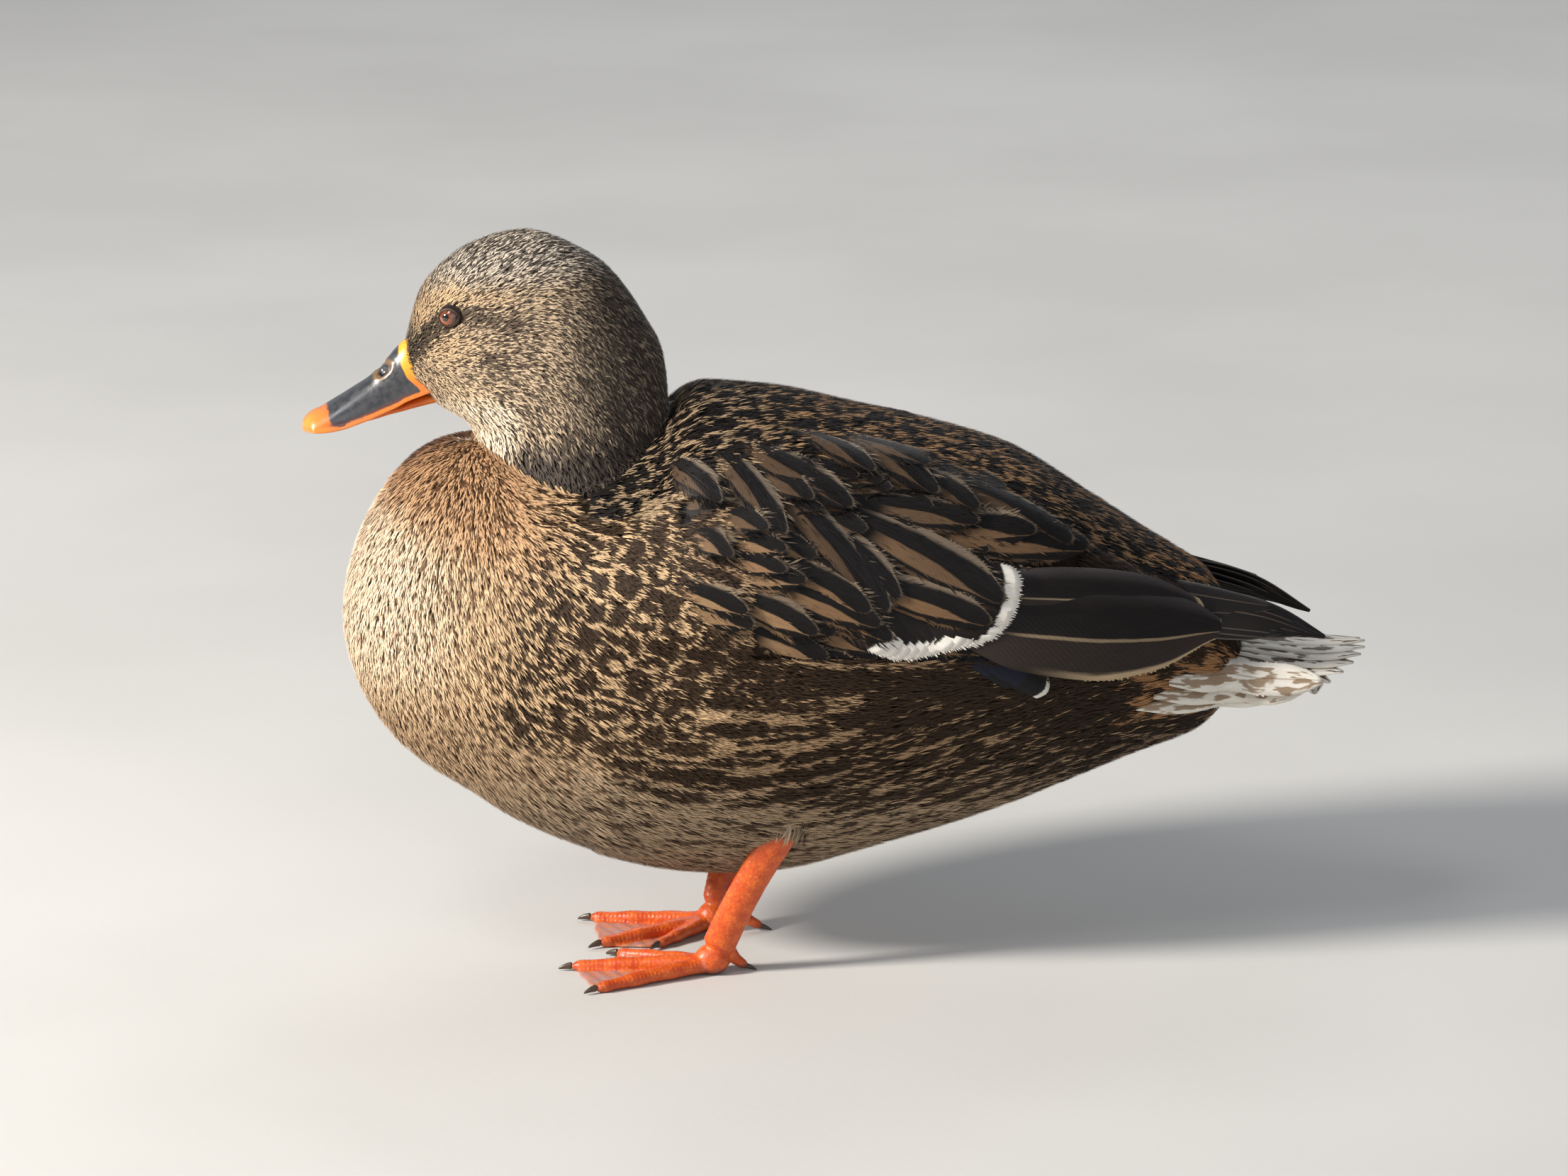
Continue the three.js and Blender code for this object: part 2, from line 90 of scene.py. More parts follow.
def unit(v):
    return v / np.maximum(np.linalg.norm(v, axis=-1, keepdims=True), 1e-9)


def smooth(a, b, x):
    t = np.clip((np.asarray(x, float) - a) / (b - a), 0, 1)
    return t * t * (3 - 2 * t)


def curve(rows):
    R = np.array(rows, float)
    if R[0, 0] > R[-1, 0]:
        R = R[::-1]
    k, V = R[:, 0], R[:, 1:]
    h = np.diff(k)
    d = np.diff(V, axis=0) / h[:, None]
    m = np.zeros_like(V)
    m[0], m[-1] = d[0], d[-1]
    if len(k) > 2:
        a, b = d[:-1], d[1:]
        m[1:-1] = np.where(a * b <= 0, 0, 2 * a * b / np.where(np.abs(a + b) < 1e-12, 1, a + b))

    def f(q):
        q = np.clip(np.asarray(q, float), k[0], k[-1])
        i = np.clip(np.searchsorted(k, q, side="right") - 1, 0, len(k) - 2)
        s = ((q - k[i]) / h[i])[..., None]
        H = h[i][..., None]
        s2, s3 = s * s, s * s * s
        return ((2 * s3 - 3 * s2 + 1) * V[i] + (s3 - 2 * s2 + s) * H * m[i]
                + (3 * s2 - 2 * s3) * V[i + 1] + (s3 - s2) * H * m[i + 1])
    return f


def cap(q):
    return np.sqrt(np.clip(1 - (1 - np.clip(q, 0, 1)) ** 2, 0, 1))


# ------------------------------------------------------------ body dimensions
TRUNK_FRONT, TRUNK_REAR = -147.4, 219.0
BREAST_ROUND, RUMP_ROUND, BELLY_NARROW = 105.0, 22.0, 0.10
trunk_row = curve([
    [-147.4, 142, 100, 88, 70], [-132, 141.5, 100, 86, 70.5], [-117, 141, 98, 84, 71],
    [-100, 140, 91, 82, 71], [-83, 139.3, 82, 85.6, 72], [-60, 138, 75, 89.8, 72.5],
    [-38, 137, 79, 94.8, 73], [-22, 136.3, 86, 98, 73.5], [-5, 135.6, 98.5, 99.3, 74],
    [20, 134.5, 97.5, 98, 74], [56, 133, 91, 88.5, 71], [112, 132.5, 76, 71.5, 59],
    [150, 130.6, 54.5, 55, 46.5], [168, 129.5, 43.5, 47, 41], [185, 128.3, 34, 40, 35.5],
    [195, 127.7, 27.5, 34.5, 32.5], [203, 126, 19.5, 29.5, 30.5], [219, 123, 14, 24, 27]])
head_row = curve([
    [186, -86, -22, 40], [204.5, -90, -20, 38], [216, -94.7, -18.3, 34], [223, -99, -18.2, 32.5],
    [229, -110, -18.3, 31], [239, -118.5, -18.9, 29.5], [250, -122.2, -21.1, 28],
    [261, -120, -27, 25.8], [273, -116.5, -34.2, 23], [283.7, -108.6, -43, 19.2],
    [291, -98.8, -54.5, 14], [295.3, -88, -64, 8.5], [297.3, -79, -69, 3]])
EYE = np.array([-103.0, 14.7, 265.8])
EYE_R = 5.5
wing_top = curve([[-60, 34], [-30, 50], [-8, 60], [30, 67], [67, 68], [132, 52], [188, 42]])
wing_low = curve([[-60, 26], [-30, 6], [0, 2], [42, 1], [100, -3], [140, -3], [165, 4], [188, 18]])
bill_upper = curve([
    [-108, 235.5, 20, 10.2], [-114, 233.2, 22, 10.4], [-121, 230.4, 23.4, 9.9],
    [-125, 228.1, 22, 9.6], [-130, 225.8, 18.2, 9.4], [-136, 223.2, 15.4, 9.5],
    [-141, 221.4, 14, 9.9], [-146, 219.8, 12.4, 10.5], [-151, 218.9, 10.2, 10.9],
    [-156, 218.3, 7.8, 10.3], [-161.5, 217.8, 5.6, 8.5]])
bill_lower = curve([
    [-102, 230.7, 5, 8.4], [-109, 229.3, 4.8, 8.6], [-118, 227.2, 4.2, 8.5], [-122.4, 226, 3.6, 8.2],
    [-128, 224.6, 3.2, 7.9], [-134, 222.8, 2.9, 7.9], [-142, 221.2, 2.4, 8.3], [-152, 219.9, 1.9, 8.3]])


# ---------------------------------------------------------------- mesh helpers
def make_mesh(name, V, F, uvs=None, attrs=None, flat=False):
    """V in the bird's millimetres; F a list of index arrays; uvs and attrs per vertex."""
    V = row(V)
    me = bpy.data.meshes.new(name)
    me.vertices.add(len(V))
    me.vertices.foreach_set("co", V.astype(np.float32).ravel())
    li = np.concatenate([np.asarray(f).ravel() for f in F]).astype(np.int32)
    n = np.concatenate([np.full(len(f), np.asarray(f).shape[1]) for f in F]).astype(np.int32)
    me.loops.add(len(li))
    me.loops.foreach_set("vertex_index", li)
    me.polygons.add(len(n))
    me.polygons.foreach_set("loop_start", np.concatenate([[0], np.cumsum(n)[:-1]]).astype(np.int32))
    if not flat:
        me.polygons.foreach_set("use_smooth", np.ones(len(n), bool))
    me.update(calc_edges=True)
    for key, uv in (uvs or {}).items():
        layer = me.uv_layers.new(name=key)
        layer.data.foreach_set("uv", np.asarray(uv, np.float32)[li].ravel())
    for key, val in (attrs or {}).items():
        val = np.asarray(val, np.float32)
        if val.ndim == 1:
            me.attributes.new(key, "FLOAT", "POINT").data.foreach_set("value", val)
        else:
            a = me.attributes.new(key, "FLOAT_COLOR", "POINT")
            a.data.foreach_set("color", np.concatenate([val, np.ones((len(val), 1), np.float32)], 1).ravel())
    me.validate()
    ob = bpy.data.objects.new(name, me)
    bpy.context.scene.collection.objects.link(ob)
    return ob


def grid_faces(nu, nv, close_u=False, close_v=False, base=0):
    """Quads of an (nu x nv) vertex grid, v fastest."""
    i = np.arange(nu if close_u else nu - 1)
    j = np.arange(nv if close_v else nv - 1)
    I, J = np.meshgrid(i, j, indexing="ij")
    I2, J2 = (I + 1) % nu, (J + 1) % nv
    q = np.stack([I * nv + J, I * nv + J2, I2 * nv + J2, I2 * nv + J], -1).reshape(-1, 4)
    return q + base


def closed_form(fn, around, along):
    """A closed tube with pole caps; fn(t, a) gives points for arrays t, a."""
    t = np.linspace(0, 1, along + 1)[1:-1]
    a = np.arange(around) / around * 2 * np.pi
    T, A = np.meshgrid(t, a, indexing="ij")
    body = fn(T.ravel(), A.ravel())
    p0 = fn(np.zeros(around), a).mean(0)
    p1 = fn(np.ones(around), a).mean(0)
    V = np.concatenate([body, [p0], [p1]])
    F = grid_faces(along - 1, around, close_v=True)
    j = np.arange(around)
    k0, k1 = len(body), len(body) + 1
    f0 = np.stack([np.full(around, k0), (j + 1) % around, j], -1)
    o = (along - 2) * around
    f1 = np.stack([np.full(around, k1), o + j, o + (j + 1) % around], -1)
    return V, [F, np.concatenate([f0, f1])]


def arrays(ob, evaluated=True):
    """Vertices (bird millimetres) and triangles of an object, modifiers applied."""
    dg = bpy.context.evaluated_depsgraph_get()
    me = (ob.evaluated_get(dg) if evaluated else ob).to_mesh()
    co = np.empty(len(me.vertices) * 3, np.float32)
    me.vertices.foreach_get("co", co)
    me.calc_loop_triangles()
    tr = np.empty(len(me.loop_triangles) * 3, np.int32)
    me.loop_triangles.foreach_get("vertices", tr)
    return co.reshape(-1, 3).astype(float) * 1000 - np.array([OX, 0, 0]), tr.reshape(-1, 3)


def merged(parts):
    V, F, n = [], [], 0
    for v, fs in parts:
        V.append(v)
        F += [np.asarray(f) + n for f in fs]
        n += len(v)
    return np.concatenate(V), F


def remeshed(name, V, F, voxel, rounds, factor=0.5):
    """One closed surface round overlapping closed forms, made smooth."""
    tmp = make_mesh(name + "_raw", V, F)
    m = tmp.modifiers.new("r", "REMESH")
    m.mode = "VOXEL"
    m.voxel_size = voxel * 0.001
    m.adaptivity = 0
    s = tmp.modifiers.new("s", "SMOOTH")
    s.factor, s.iterations = factor, rounds
    dg = bpy.context.evaluated_depsgraph_get()
    me = bpy.data.meshes.new_from_object(tmp.evaluated_get(dg))
    bpy.data.objects.remove(tmp)
    ob = bpy.data.objects.new(name, me)
    bpy.context.scene.collection.objects.link(ob)
    me.polygons.foreach_set("use_smooth", np.ones(len(me.polygons), bool))
    return ob


def set_attr(ob, key, val):
    me = ob.data
    val = np.asarray(val, np.float32)
    if val.ndim == 1:
        me.attributes.new(key, "FLOAT", "POINT").data.foreach_set("value", val)
    else:
        a = me.attributes.new(key, "FLOAT_COLOR", "POINT")
        a.data.foreach_set("color", np.concatenate([val, np.ones((len(val), 1), np.float32)], 1).ravel())


# ------------------------------------------------------------------------ skin
def coat_depth(x, angle):
    """How far the skin lies inside the plumage's outer surface."""
    side = np.cos(angle)
    d = 3.0 + 0.8 * smooth(-60, 40, x) * side
    top, low = np.radians(wing_top(x)[..., 0]), np.radians(wing_low(x)[..., 0])
    w = smooth(0, 0.12, angle_up(angle) - low) * smooth(0, 0.12, top - angle_up(angle))
    w = w * smooth(-62, -30, x) * (1 - smooth(165, 190, x))
    return d - 3.4 * w


def angle_up(a):
    """Angle above the widest line, the same on both sides."""
    return np.arcsin(np.clip(np.sin(a), -1, 1))


SKIN_REAR = 207.0


def skin_trunk(t, a):
    e = (1 - np.cos(np.pi * t)) / 2
    front = TRUNK_FRONT + 3.0
    x = front + (SKIN_REAR - front) * e
    wide, rise, drop, half = trunk_row(x).T
    r = cap((x - front) / BREAST_ROUND) * cap((SKIN_REAR - x) / 18)
    s, c = np.sin(a), np.cos(a)
    d = coat_depth(x, a)
    ry = np.maximum(half * (1 + BELLY_NARROW * s) * r - d, 0.02 * half * r)
    rz = np.maximum(np.where(s > 0, rise, drop) * r - d, 0.02 * rise * r)
    return np.stack([x, c * ry, wide + s * rz], -1)


HEAD_COAT = 1.5


def skin_head(t, a):
    s = np.clip((t * 40 - 1) / 39, 0, 1)
    z = 186 + (297.3 - HEAD_COAT - 186) * np.sin(s * np.pi / 2) ** 1.15
    face, nape, half = head_row(z + HEAD_COAT * smooth(255, 296, z)).T
    r = np.where((t <= 0) | (t >= 1), 0, 1)
    hx = np.maximum((nape - face) / 2 - HEAD_COAT, 0.5)
    hy = np.maximum(half - HEAD_COAT, 0.5)
    return np.stack([(face + nape) / 2 + r * np.cos(a) * hx, r * hy * np.sin(a), z], -1)


def feather_edge(z):
    """x of the line where the face's feathers meet the bill."""
    return np.interp(z, [226, 230, 235.2, 237.5, 240.2, 244.7, 248.5, 252, 258],
                     [-109, -110.5, -114, -116.1, -119.3, -121.4, -122.4, -122.3, -121.0])


def muzzle(t, a):
    """The fleshy root of the bill, feathered as far as the bill's edge."""
    s, c = np.sin(a), np.cos(a)
    x0 = -84.0
    edge, high, half = bill_upper(np.full_like(t, -117.0)).T
    z = np.where(s > 0, edge + 1 + (high - 1) * np.abs(s) ** 1.05, edge + 1 + s * 5.0)
    x1 = feather_edge(z) - 0.2
    x = x0 + (x1 - x0) * t
    e, hi, hf = bill_upper(np.maximum(x, -122.0)).T
    grow = 1.0 + 0.25 * (1 - t)
    y = np.sign(c) * np.abs(c) ** 0.8 * (hf - 0.1) * grow
    zz = np.where(s > 0, e + 1 + (hi - 1.4) * np.abs(s) ** 1.05, e + 1 + s * 4.5)
    return np.stack([x, y, zz], -1)


V1, F1 = closed_form(skin_trunk, 96, 170)
V2, F2 = closed_form(skin_head, 72, 80)
V3, F3 = closed_form(muzzle, 64, 30)
Vs, Fs = merged([(V1, F1), (V2, F2), (V3, F3)])
skin = remeshed("skin", Vs, Fs, 1.8, 7)


def head_gap(p):
    face, nape, half = head_row(p[..., 2]).T
    cx, a, b = (face + nape) / 2, (nape - face) / 2, half
    q = np.sqrt(((p[..., 0] - cx.T) / a.T) ** 2 + (p[..., 1] / b.T) ** 2)
    return (q - 1) * np.minimum(a, b).T + np.where(p[..., 2] < 186, 30, 0)


def trunk_gap(p):
    wide, rise, drop, half = [v.T for v in trunk_row(p[..., 0]).T]
    r = np.maximum(cap((p[..., 0] - TRUNK_FRONT) / BREAST_ROUND) * cap((TRUNK_REAR - p[..., 0]) / RUMP_ROUND), 0.05)
    dz = p[..., 2] - wide
    H = np.where(dz > 0, rise, drop) * r
    return (np.sqrt((p[..., 1] / (half * r)) ** 2 + (dz / H) ** 2) - 1) * np.minimum(half * r, H)


def is_head(p):
    return head_gap(p) < trunk_gap(p)


# signed distance to the skin on a grid, for placing feathers on it
SV, ST = arrays(skin, False)
CELL = 3.0
g_lo = SV.min(0) - 15
g_n = np.ceil((SV.max(0) + 15 - g_lo) / CELL).astype(int) + 1
g_lo[1] = -CELL * (g_n[1] - 1) / 2
gx, gy, gz = [g_lo[i] + CELL * np.arange(g_n[i]) for i in range(3)]
GP = np.stack(np.meshgrid(gx, gy, gz, indexing="ij"), -1)
rough = np.minimum(head_gap(GP), trunk_gap(GP))
bvh = BVHTree.FromPolygons([Vector(v) for v in SV], [tuple(t) for t in ST.tolist()])
near = np.argwhere((np.abs(rough) < 26) & (GP[..., 1] >= -1e-6))
DIST = np.where(rough > 0, 25.0, -25.0)
for i, j, k in near.tolist():
    loc, nor, _, dist = bvh.find_nearest(Vector(GP[i, j, k]), 24.0)
    if loc is not None:
        DIST[i, j, k] = dist if (Vector(GP[i, j, k]) - loc).dot(nor) > 0 else -dist
half_n = (g_n[1] - 1) // 2
DIST[:, :half_n] = DIST[:, ::-1][:, :half_n]
GRAD = np.stack(np.gradient(DIST, CELL), -1)


def field(p):
    """Distance outside the skin and the outward direction, at points p."""
    q = np.clip((p - g_lo) / CELL, 0, g_n - 1.001)
    i = q.astype(int)
    f = q - i
    d = np.zeros(p.shape[:-1])
    g = np.zeros(p.shape)
    for a in (0, 1):
        for b in (0, 1):
            for c in (0, 1):
                w = (f[..., 0] if a else 1 - f[..., 0]) * (f[..., 1] if b else 1 - f[..., 1]) * (f[..., 2] if c else 1 - f[..., 2])
                ix = (i[..., 0] + a, i[..., 1] + b, i[..., 2] + c)
                d = d + w * DIST[ix]
                g = g + w[..., None] * GRAD[ix]
    return d, unit(g)


def on_skin(p, pull=1.0, rounds=2):
    for _ in range(rounds):
        d, g = field(p)
        p = p - (np.where(d > 0, d * pull, d))[..., None] * g
    return p, field(p)[1]


# ------------------------------------------------- the lie of the feathers
# Side view: x, z, and the angle the feathers point at, degrees above the tail's direction.
LIE = np.array([
    (-125, 203, -128), (-136, 186, -112), (-141, 160, -95), (-141, 135, -80), (-134, 108, -62),
    (-112, 203, -108), (-95, 200, -82), (-114, 180, -95), (-101, 176, -72), (-120, 150, -78),
    (-89, 136, -52), (-112, 116, -56), (-75, 177, -50), (-66, 192, -45), (-50, 183, -28),
    (-50, 200, -25), (-34, 171, -26), (-21, 152, -20), (-55, 145, -34), (-34, 137, -25),
    (-60, 110, -28), (-88, 86, -36), (-50, 75, -16), (-10, 125, -12), (7, 116, -3),
    (20, 106, 6), (30, 128, -4), (60, 134, 2), (62, 110, 20), (90, 128, 8), (85, 95, 24),
    (120, 102, 20), (79, 66, 15), (40, 72, 12), (-5, 54, -3), (20, 45, 3), (130, 80, 18),
    (165, 89, 17), (190, 100, 17), (150, 120, 8), (-10, 203, -16), (10, 214, -12),
    (25, 190, -24), (57, 154, -22), (20, 165, -20), (79, 197, -27), (103, 165, -24),
    (132, 178, -30), (135, 150, -14), (39, 228, -6), (66, 219, -15), (100, 205, -27),
    (140, 190, -33), (160, 170, -34), (185, 160, -34), (205, 140, -30)], float)
BEAK_BASE = np.array([-126.0, 0, 246])


def flow(p, n):
    """Unit direction along the surface in which a feather at p points."""
    x, z = p[..., 0], p[..., 2]
    flat = p.reshape(-1, 3)
    w = 1 / ((flat[:, None, 0] - LIE[None, :, 0]) ** 2 + (flat[:, None, 2] - LIE[None, :, 1]) ** 2 + 60) ** 1.6
    a = np.radians((w * LIE[:, 2]).sum(1) / w.sum(1)).reshape(x.shape)
    body = np.stack([np.cos(a), np.zeros_like(a), np.sin(a)], -1)
    # on the sides of the breast the feathers also spread outwards from the neck
    body[..., 1] += np.sign(p[..., 1]) * 0.35 * smooth(-70, -120, x) * smooth(120, 190, z)
    away = unit(p - BEAK_BASE)
    down = 0.1 + 1.3 * smooth(-88, -38, x) + 0.5 * smooth(245, 215, z)
    head = away + np.stack([0.35 * smooth(-60, -100, x), np.zeros_like(x), -down * smooth(300, 262, z)], -1)
    head[..., 1] *= 0.4
    d = np.where(is_head(p)[..., None], head, body)
    d = d - (d * n).sum(-1, keepdims=True) * n
    return unit(d)


# -------------------------------------------------------------- node materials
class Value:
    """A node socket that takes part in sums."""

    def __init__(self, graph, socket):
        self.g, self.s = graph, socket

    def __add__(self, o): return self.g.math("ADD", self, o)
    def __radd__(self, o): return self.g.math("ADD", o, self)
    def __sub__(self, o): return self.g.math("SUBTRACT", self, o)
    def __rsub__(self, o): return self.g.math("SUBTRACT", o, self)
    def __mul__(self, o): return self.g.math("MULTIPLY", self, o)
    def __rmul__(self, o): return self.g.math("MULTIPLY", o, self)
    def __truediv__(self, o): return self.g.math("DIVIDE", self, o)
    def __pow__(self, o): return self.g.math("POWER", self, o)
    def __neg__(self): return self.g.math("MULTIPLY", self, -1)
    def abs(self): return self.g.math("ABSOLUTE", self)
    def sin(self): return self.g.math("SINE", self)
    def max(self, o): return self.g.math("MAXIMUM", self, o)
    def min(self, o): return self.g.math("MINIMUM", self, o)
    def clip(self): return self.g.step(self, 0, 1, "LINEAR")


class Graph:
    def __init__(self, name):
        self.mat = bpy.data.materials.new(name)
        self.mat.use_nodes = True
        self.nt = self.mat.node_tree
        self.bsdf = self.nt.nodes["Principled BSDF"]
        self.coords = self.node("ShaderNodeTexCoord")

    def node(self, kind, **props):
        n = self.nt.nodes.new(kind)
        for k, v in props.items():
            setattr(n, k, v)
        return n

    def put(self, v, socket):
        if isinstance(v, Value):
            self.nt.links.new(v.s, socket)
        elif hasattr(v, "is_output"):
            self.nt.links.new(v, socket)
        elif isinstance(v, (tuple, list, np.ndarray)):
            v = [float(x) for x in v]
            n = len(socket.default_value)
            socket.default_value = (v + [1.0])[:n] if len(v) == 3 else v[:n]
        else:
            socket.default_value = float(v)

    def math(self, op, a, b=None):
        n = self.node("ShaderNodeMath", operation=op)
        self.put(a, n.inputs[0])
        if b is not None:
            self.put(b, n.inputs[1])
        return Value(self, n.outputs[0])

    def step(self, v, a, b, kind="SMOOTHSTEP", lo=0.0, hi=1.0):
        n = self.node("ShaderNodeMapRange", interpolation_type=kind, clamp=True)
        for s, x in zip(n.inputs, (v, a, b, lo, hi)):
            self.put(x, s)
        return Value(self, n.outputs[0])

    def mix(self, f, a, b, blend="MIX"):
        n = self.node("ShaderNodeMix", data_type="RGBA", blend_type=blend, clamp_factor=True)
        self.put(f, n.inputs[0])
        self.put(a, n.inputs[6])
        self.put(b, n.inputs[7])
        return Value(self, n.outputs[2])

    def blend(self, f, a, b):
        n = self.node("ShaderNodeMix", data_type="FLOAT", clamp_factor=True)
        self.put(f, n.inputs[0])
        self.put(a, n.inputs[2])
        self.put(b, n.inputs[3])
        return Value(self, n.outputs[0])

    def attr(self, name):
        n = self.node("ShaderNodeAttribute", attribute_type="GEOMETRY", attribute_name=name)
        return n

    def number(self, name):
        return Value(self, self.attr(name).outputs["Fac"])

    def colour(self, name):
        return Value(self, self.attr(name).outputs["Color"])

    def parts(self, name):
        n = self.node("ShaderNodeSeparateXYZ")
        self.nt.links.new(self.attr(name).outputs["Vector"], n.inputs[0])
        return [Value(self, o) for o in n.outputs]

    def place(self):
        n = self.node("ShaderNodeSeparateXYZ")
        self.nt.links.new(self.coords.outputs["Object"], n.inputs[0])
        return [Value(self, o) for o in n.outputs]

    def vec(self, x, y, z):
        n = self.node("ShaderNodeCombineXYZ")
        for s, v in zip(n.inputs, (x, y, z)):
            self.put(v, s)
        return Value(self, n.outputs[0])

    def noise(self, vec, scale, detail=2.0, rough=0.5, distortion=0.0):
        n = self.node("ShaderNodeTexNoise", noise_dimensions="3D")
        self.put(vec if vec is not None else self.coords.outputs["Object"], n.inputs["Vector"])
        for k, v in (("Scale", scale), ("Detail", detail), ("Roughness", rough), ("Distortion", distortion)):
            self.put(v, n.inputs[k])
        return Value(self, n.outputs["Fac"])

    def cells(self, vec, scale, randomness=1.0, feature="F1", out="Distance"):
        n = self.node("ShaderNodeTexVoronoi", feature=feature)
        self.put(vec if vec is not None else self.coords.outputs["Object"], n.inputs["Vector"])
        self.put(scale, n.inputs["Scale"])
        self.put(randomness, n.inputs["Randomness"])
        return Value(self, n.outputs[out])

    def bump(self, height, depth, strength=1.0, after=None):
        n = self.node("ShaderNodeBump")
        self.put(height, n.inputs["Height"])
        n.inputs["Distance"].default_value = depth
        n.inputs["Strength"].default_value = strength
        if after is not None:
            self.nt.links.new(after, n.inputs["Normal"])
        return n.outputs[0]

    def out(self, colour=None, rough=None, normal=None, **fixed):
        b = self.bsdf
        if colour is not None:
            self.put(colour, b.inputs["Base Color"])
        if rough is not None:
            self.put(rough, b.inputs["Roughness"])
        if normal is not None:
            self.nt.links.new(normal, b.inputs["Normal"])
        for k, v in fixed.items():
            s = b.inputs[k.replace("_", " ")]
            self.put(v, s)
        return self.mat


def dress(ob, mat):
    ob.data.materials.clear()
    ob.data.materials.append(mat)
    return ob


def plumage(name, sheen=0.04, rough=0.60, spec=0.28, hairy=1.0):
    """One patterned feather: dark ink over a pale ground, laid out by the feather's own
    across (fu, -1 to 1), along (fv, 0 to 1) and seed values; hair is each barb's own shift."""
    g = Graph(name)
    fu, fv, seed = g.parts("place")
    base, spot, shaft = g.parts("marks_a")
    edge, bar, centre = g.parts("marks_b")
    web, grey, wide = g.parts("marks_c")
    hair = g.number("hair")
    k = seed * 61.0
    warp = g.noise(g.vec(fu * 1.3 + k, fv * 3.4, k), 1.5, 2.0) - 0.5
    warp2 = g.noise(g.vec(fu * 1.1, fv * 3.0 + k, k + 9.0), 1.6, 2.0) - 0.5
    fine = g.noise(g.vec(fu * 8.0, fv * 3.0 - fu.abs() * 1.1 + k, k), 2.6, 3.0, 0.6) + hair * 0.16
    f0 = fine - 0.5
    u = fu + warp * 0.45 + hair * 0.05
    v = fv + warp2 * 0.14 + hair * 0.018
    au = u.abs()
    tip = ((v - 0.42) / 0.58).max(0)
    rim = ((au ** 3.0) + (tip ** 4.2)) ** 0.3 + f0 * (0.10 * hairy)
    blot = g.step((((u / (wide * 0.22 + 0.42)) ** 2.0) + (((v - 0.82 + wide * 0.03) / (wide * 0.085 + 0.105)) ** 2.0)) ** 0.5 + f0 * (0.7 * hairy), 1.25, 0.70)
    line = g.step(au + f0 * 0.22 - wide * 0.26, 0.34, 0.14) * g.step(v + au * 0.08, 1.03, 0.93) * g.step(v, 0.36, 0.52)
    oval = g.step((((u / 0.34) ** 2.0) + (((v - 0.74) / 0.105) ** 2.0)) ** 0.5 + f0 * (0.5 * hairy), 1.15, 0.74)
    wu = u * web
    b1 = g.step((wu - 0.36 - (v - 0.8) * 0.25).abs() + f0 * 0.14, 0.25, 0.13) * g.step(v, 0.30, 0.48) * g.step(v, 0.97, 0.88)
    ed = g.step(rim, 0.905 - wide * 0.10, 0.955 - wide * 0.06)
    ink = base + spot * blot + shaft * line - edge * ed - bar * b1 - centre * oval + f0 * (0.30 * hairy)
    ink = g.step(ink, 0.26, 0.68)
    dark, pale = g.colour("dark"), g.colour("pale")
    light = g.mix(g.step(rim, 0.93, 1.02) * 0.45 * edge.min(1), pale, g.mix(0.5, pale, (0.56, 0.50, 0.42)))
    # painted sheen: grey over the dark parts, where a feather's sheen mark is set
    deep = g.mix(g.step(fine, 0.42, 0.80) * grey, dark, (0.105, 0.095, 0.092))
    col = g.mix(ink, light, deep)
    shade = g.step(fine, 0.2, 0.85, lo=0.82, hi=1.15) * g.step(seed, 0, 1, lo=0.92, hi=1.08) * (hair * 0.13 + 1.0)
    col = g.mix(1.0, col, g.vec(shade, shade, shade), "MULTIPLY")
    ridge = (fv * 150.0 - fu.abs() * 46.0).sin() * 0.22 + fine
    n = g.bump(ridge + g.step(fu.abs(), 0.10, 0.03) * 0.8, 0.00014, 0.45)
    g.out(col, g.step(fine, 0.2, 0.8, lo=rough - 0.08, hi=rough + 0.10), n, Specular_IOR_Level=spec, Sheen_Weight=sheen,
          Sheen_Roughness=0.5, Sheen_Tint=(0.9, 0.8, 0.7))
    return g.mat


# ------------------------------------------------------------ placing feathers
def face_samples(count, keep, gen):
    """Random points on the skin where keep(points) is true, and the area they are drawn from."""
    A, B, C = SV[ST[:, 0]], SV[ST[:, 1]], SV[ST[:, 2]]
    cr = np.cross(B - A, C - A)
    ar = np.linalg.norm(cr, axis=1) / 2
    ar = ar * keep((A + B + C) / 3)
    cum = np.cumsum(ar)
    f = np.searchsorted(cum, gen.random(count) * cum[-1])
    r1, r2 = np.sqrt(gen.random(count)), gen.random(count)
    P = A[f] * (1 - r1)[:, None] + B[f] * (r1 * (1 - r2))[:, None] + C[f] * (r1 * r2)[:, None]
    return P, cum[-1]


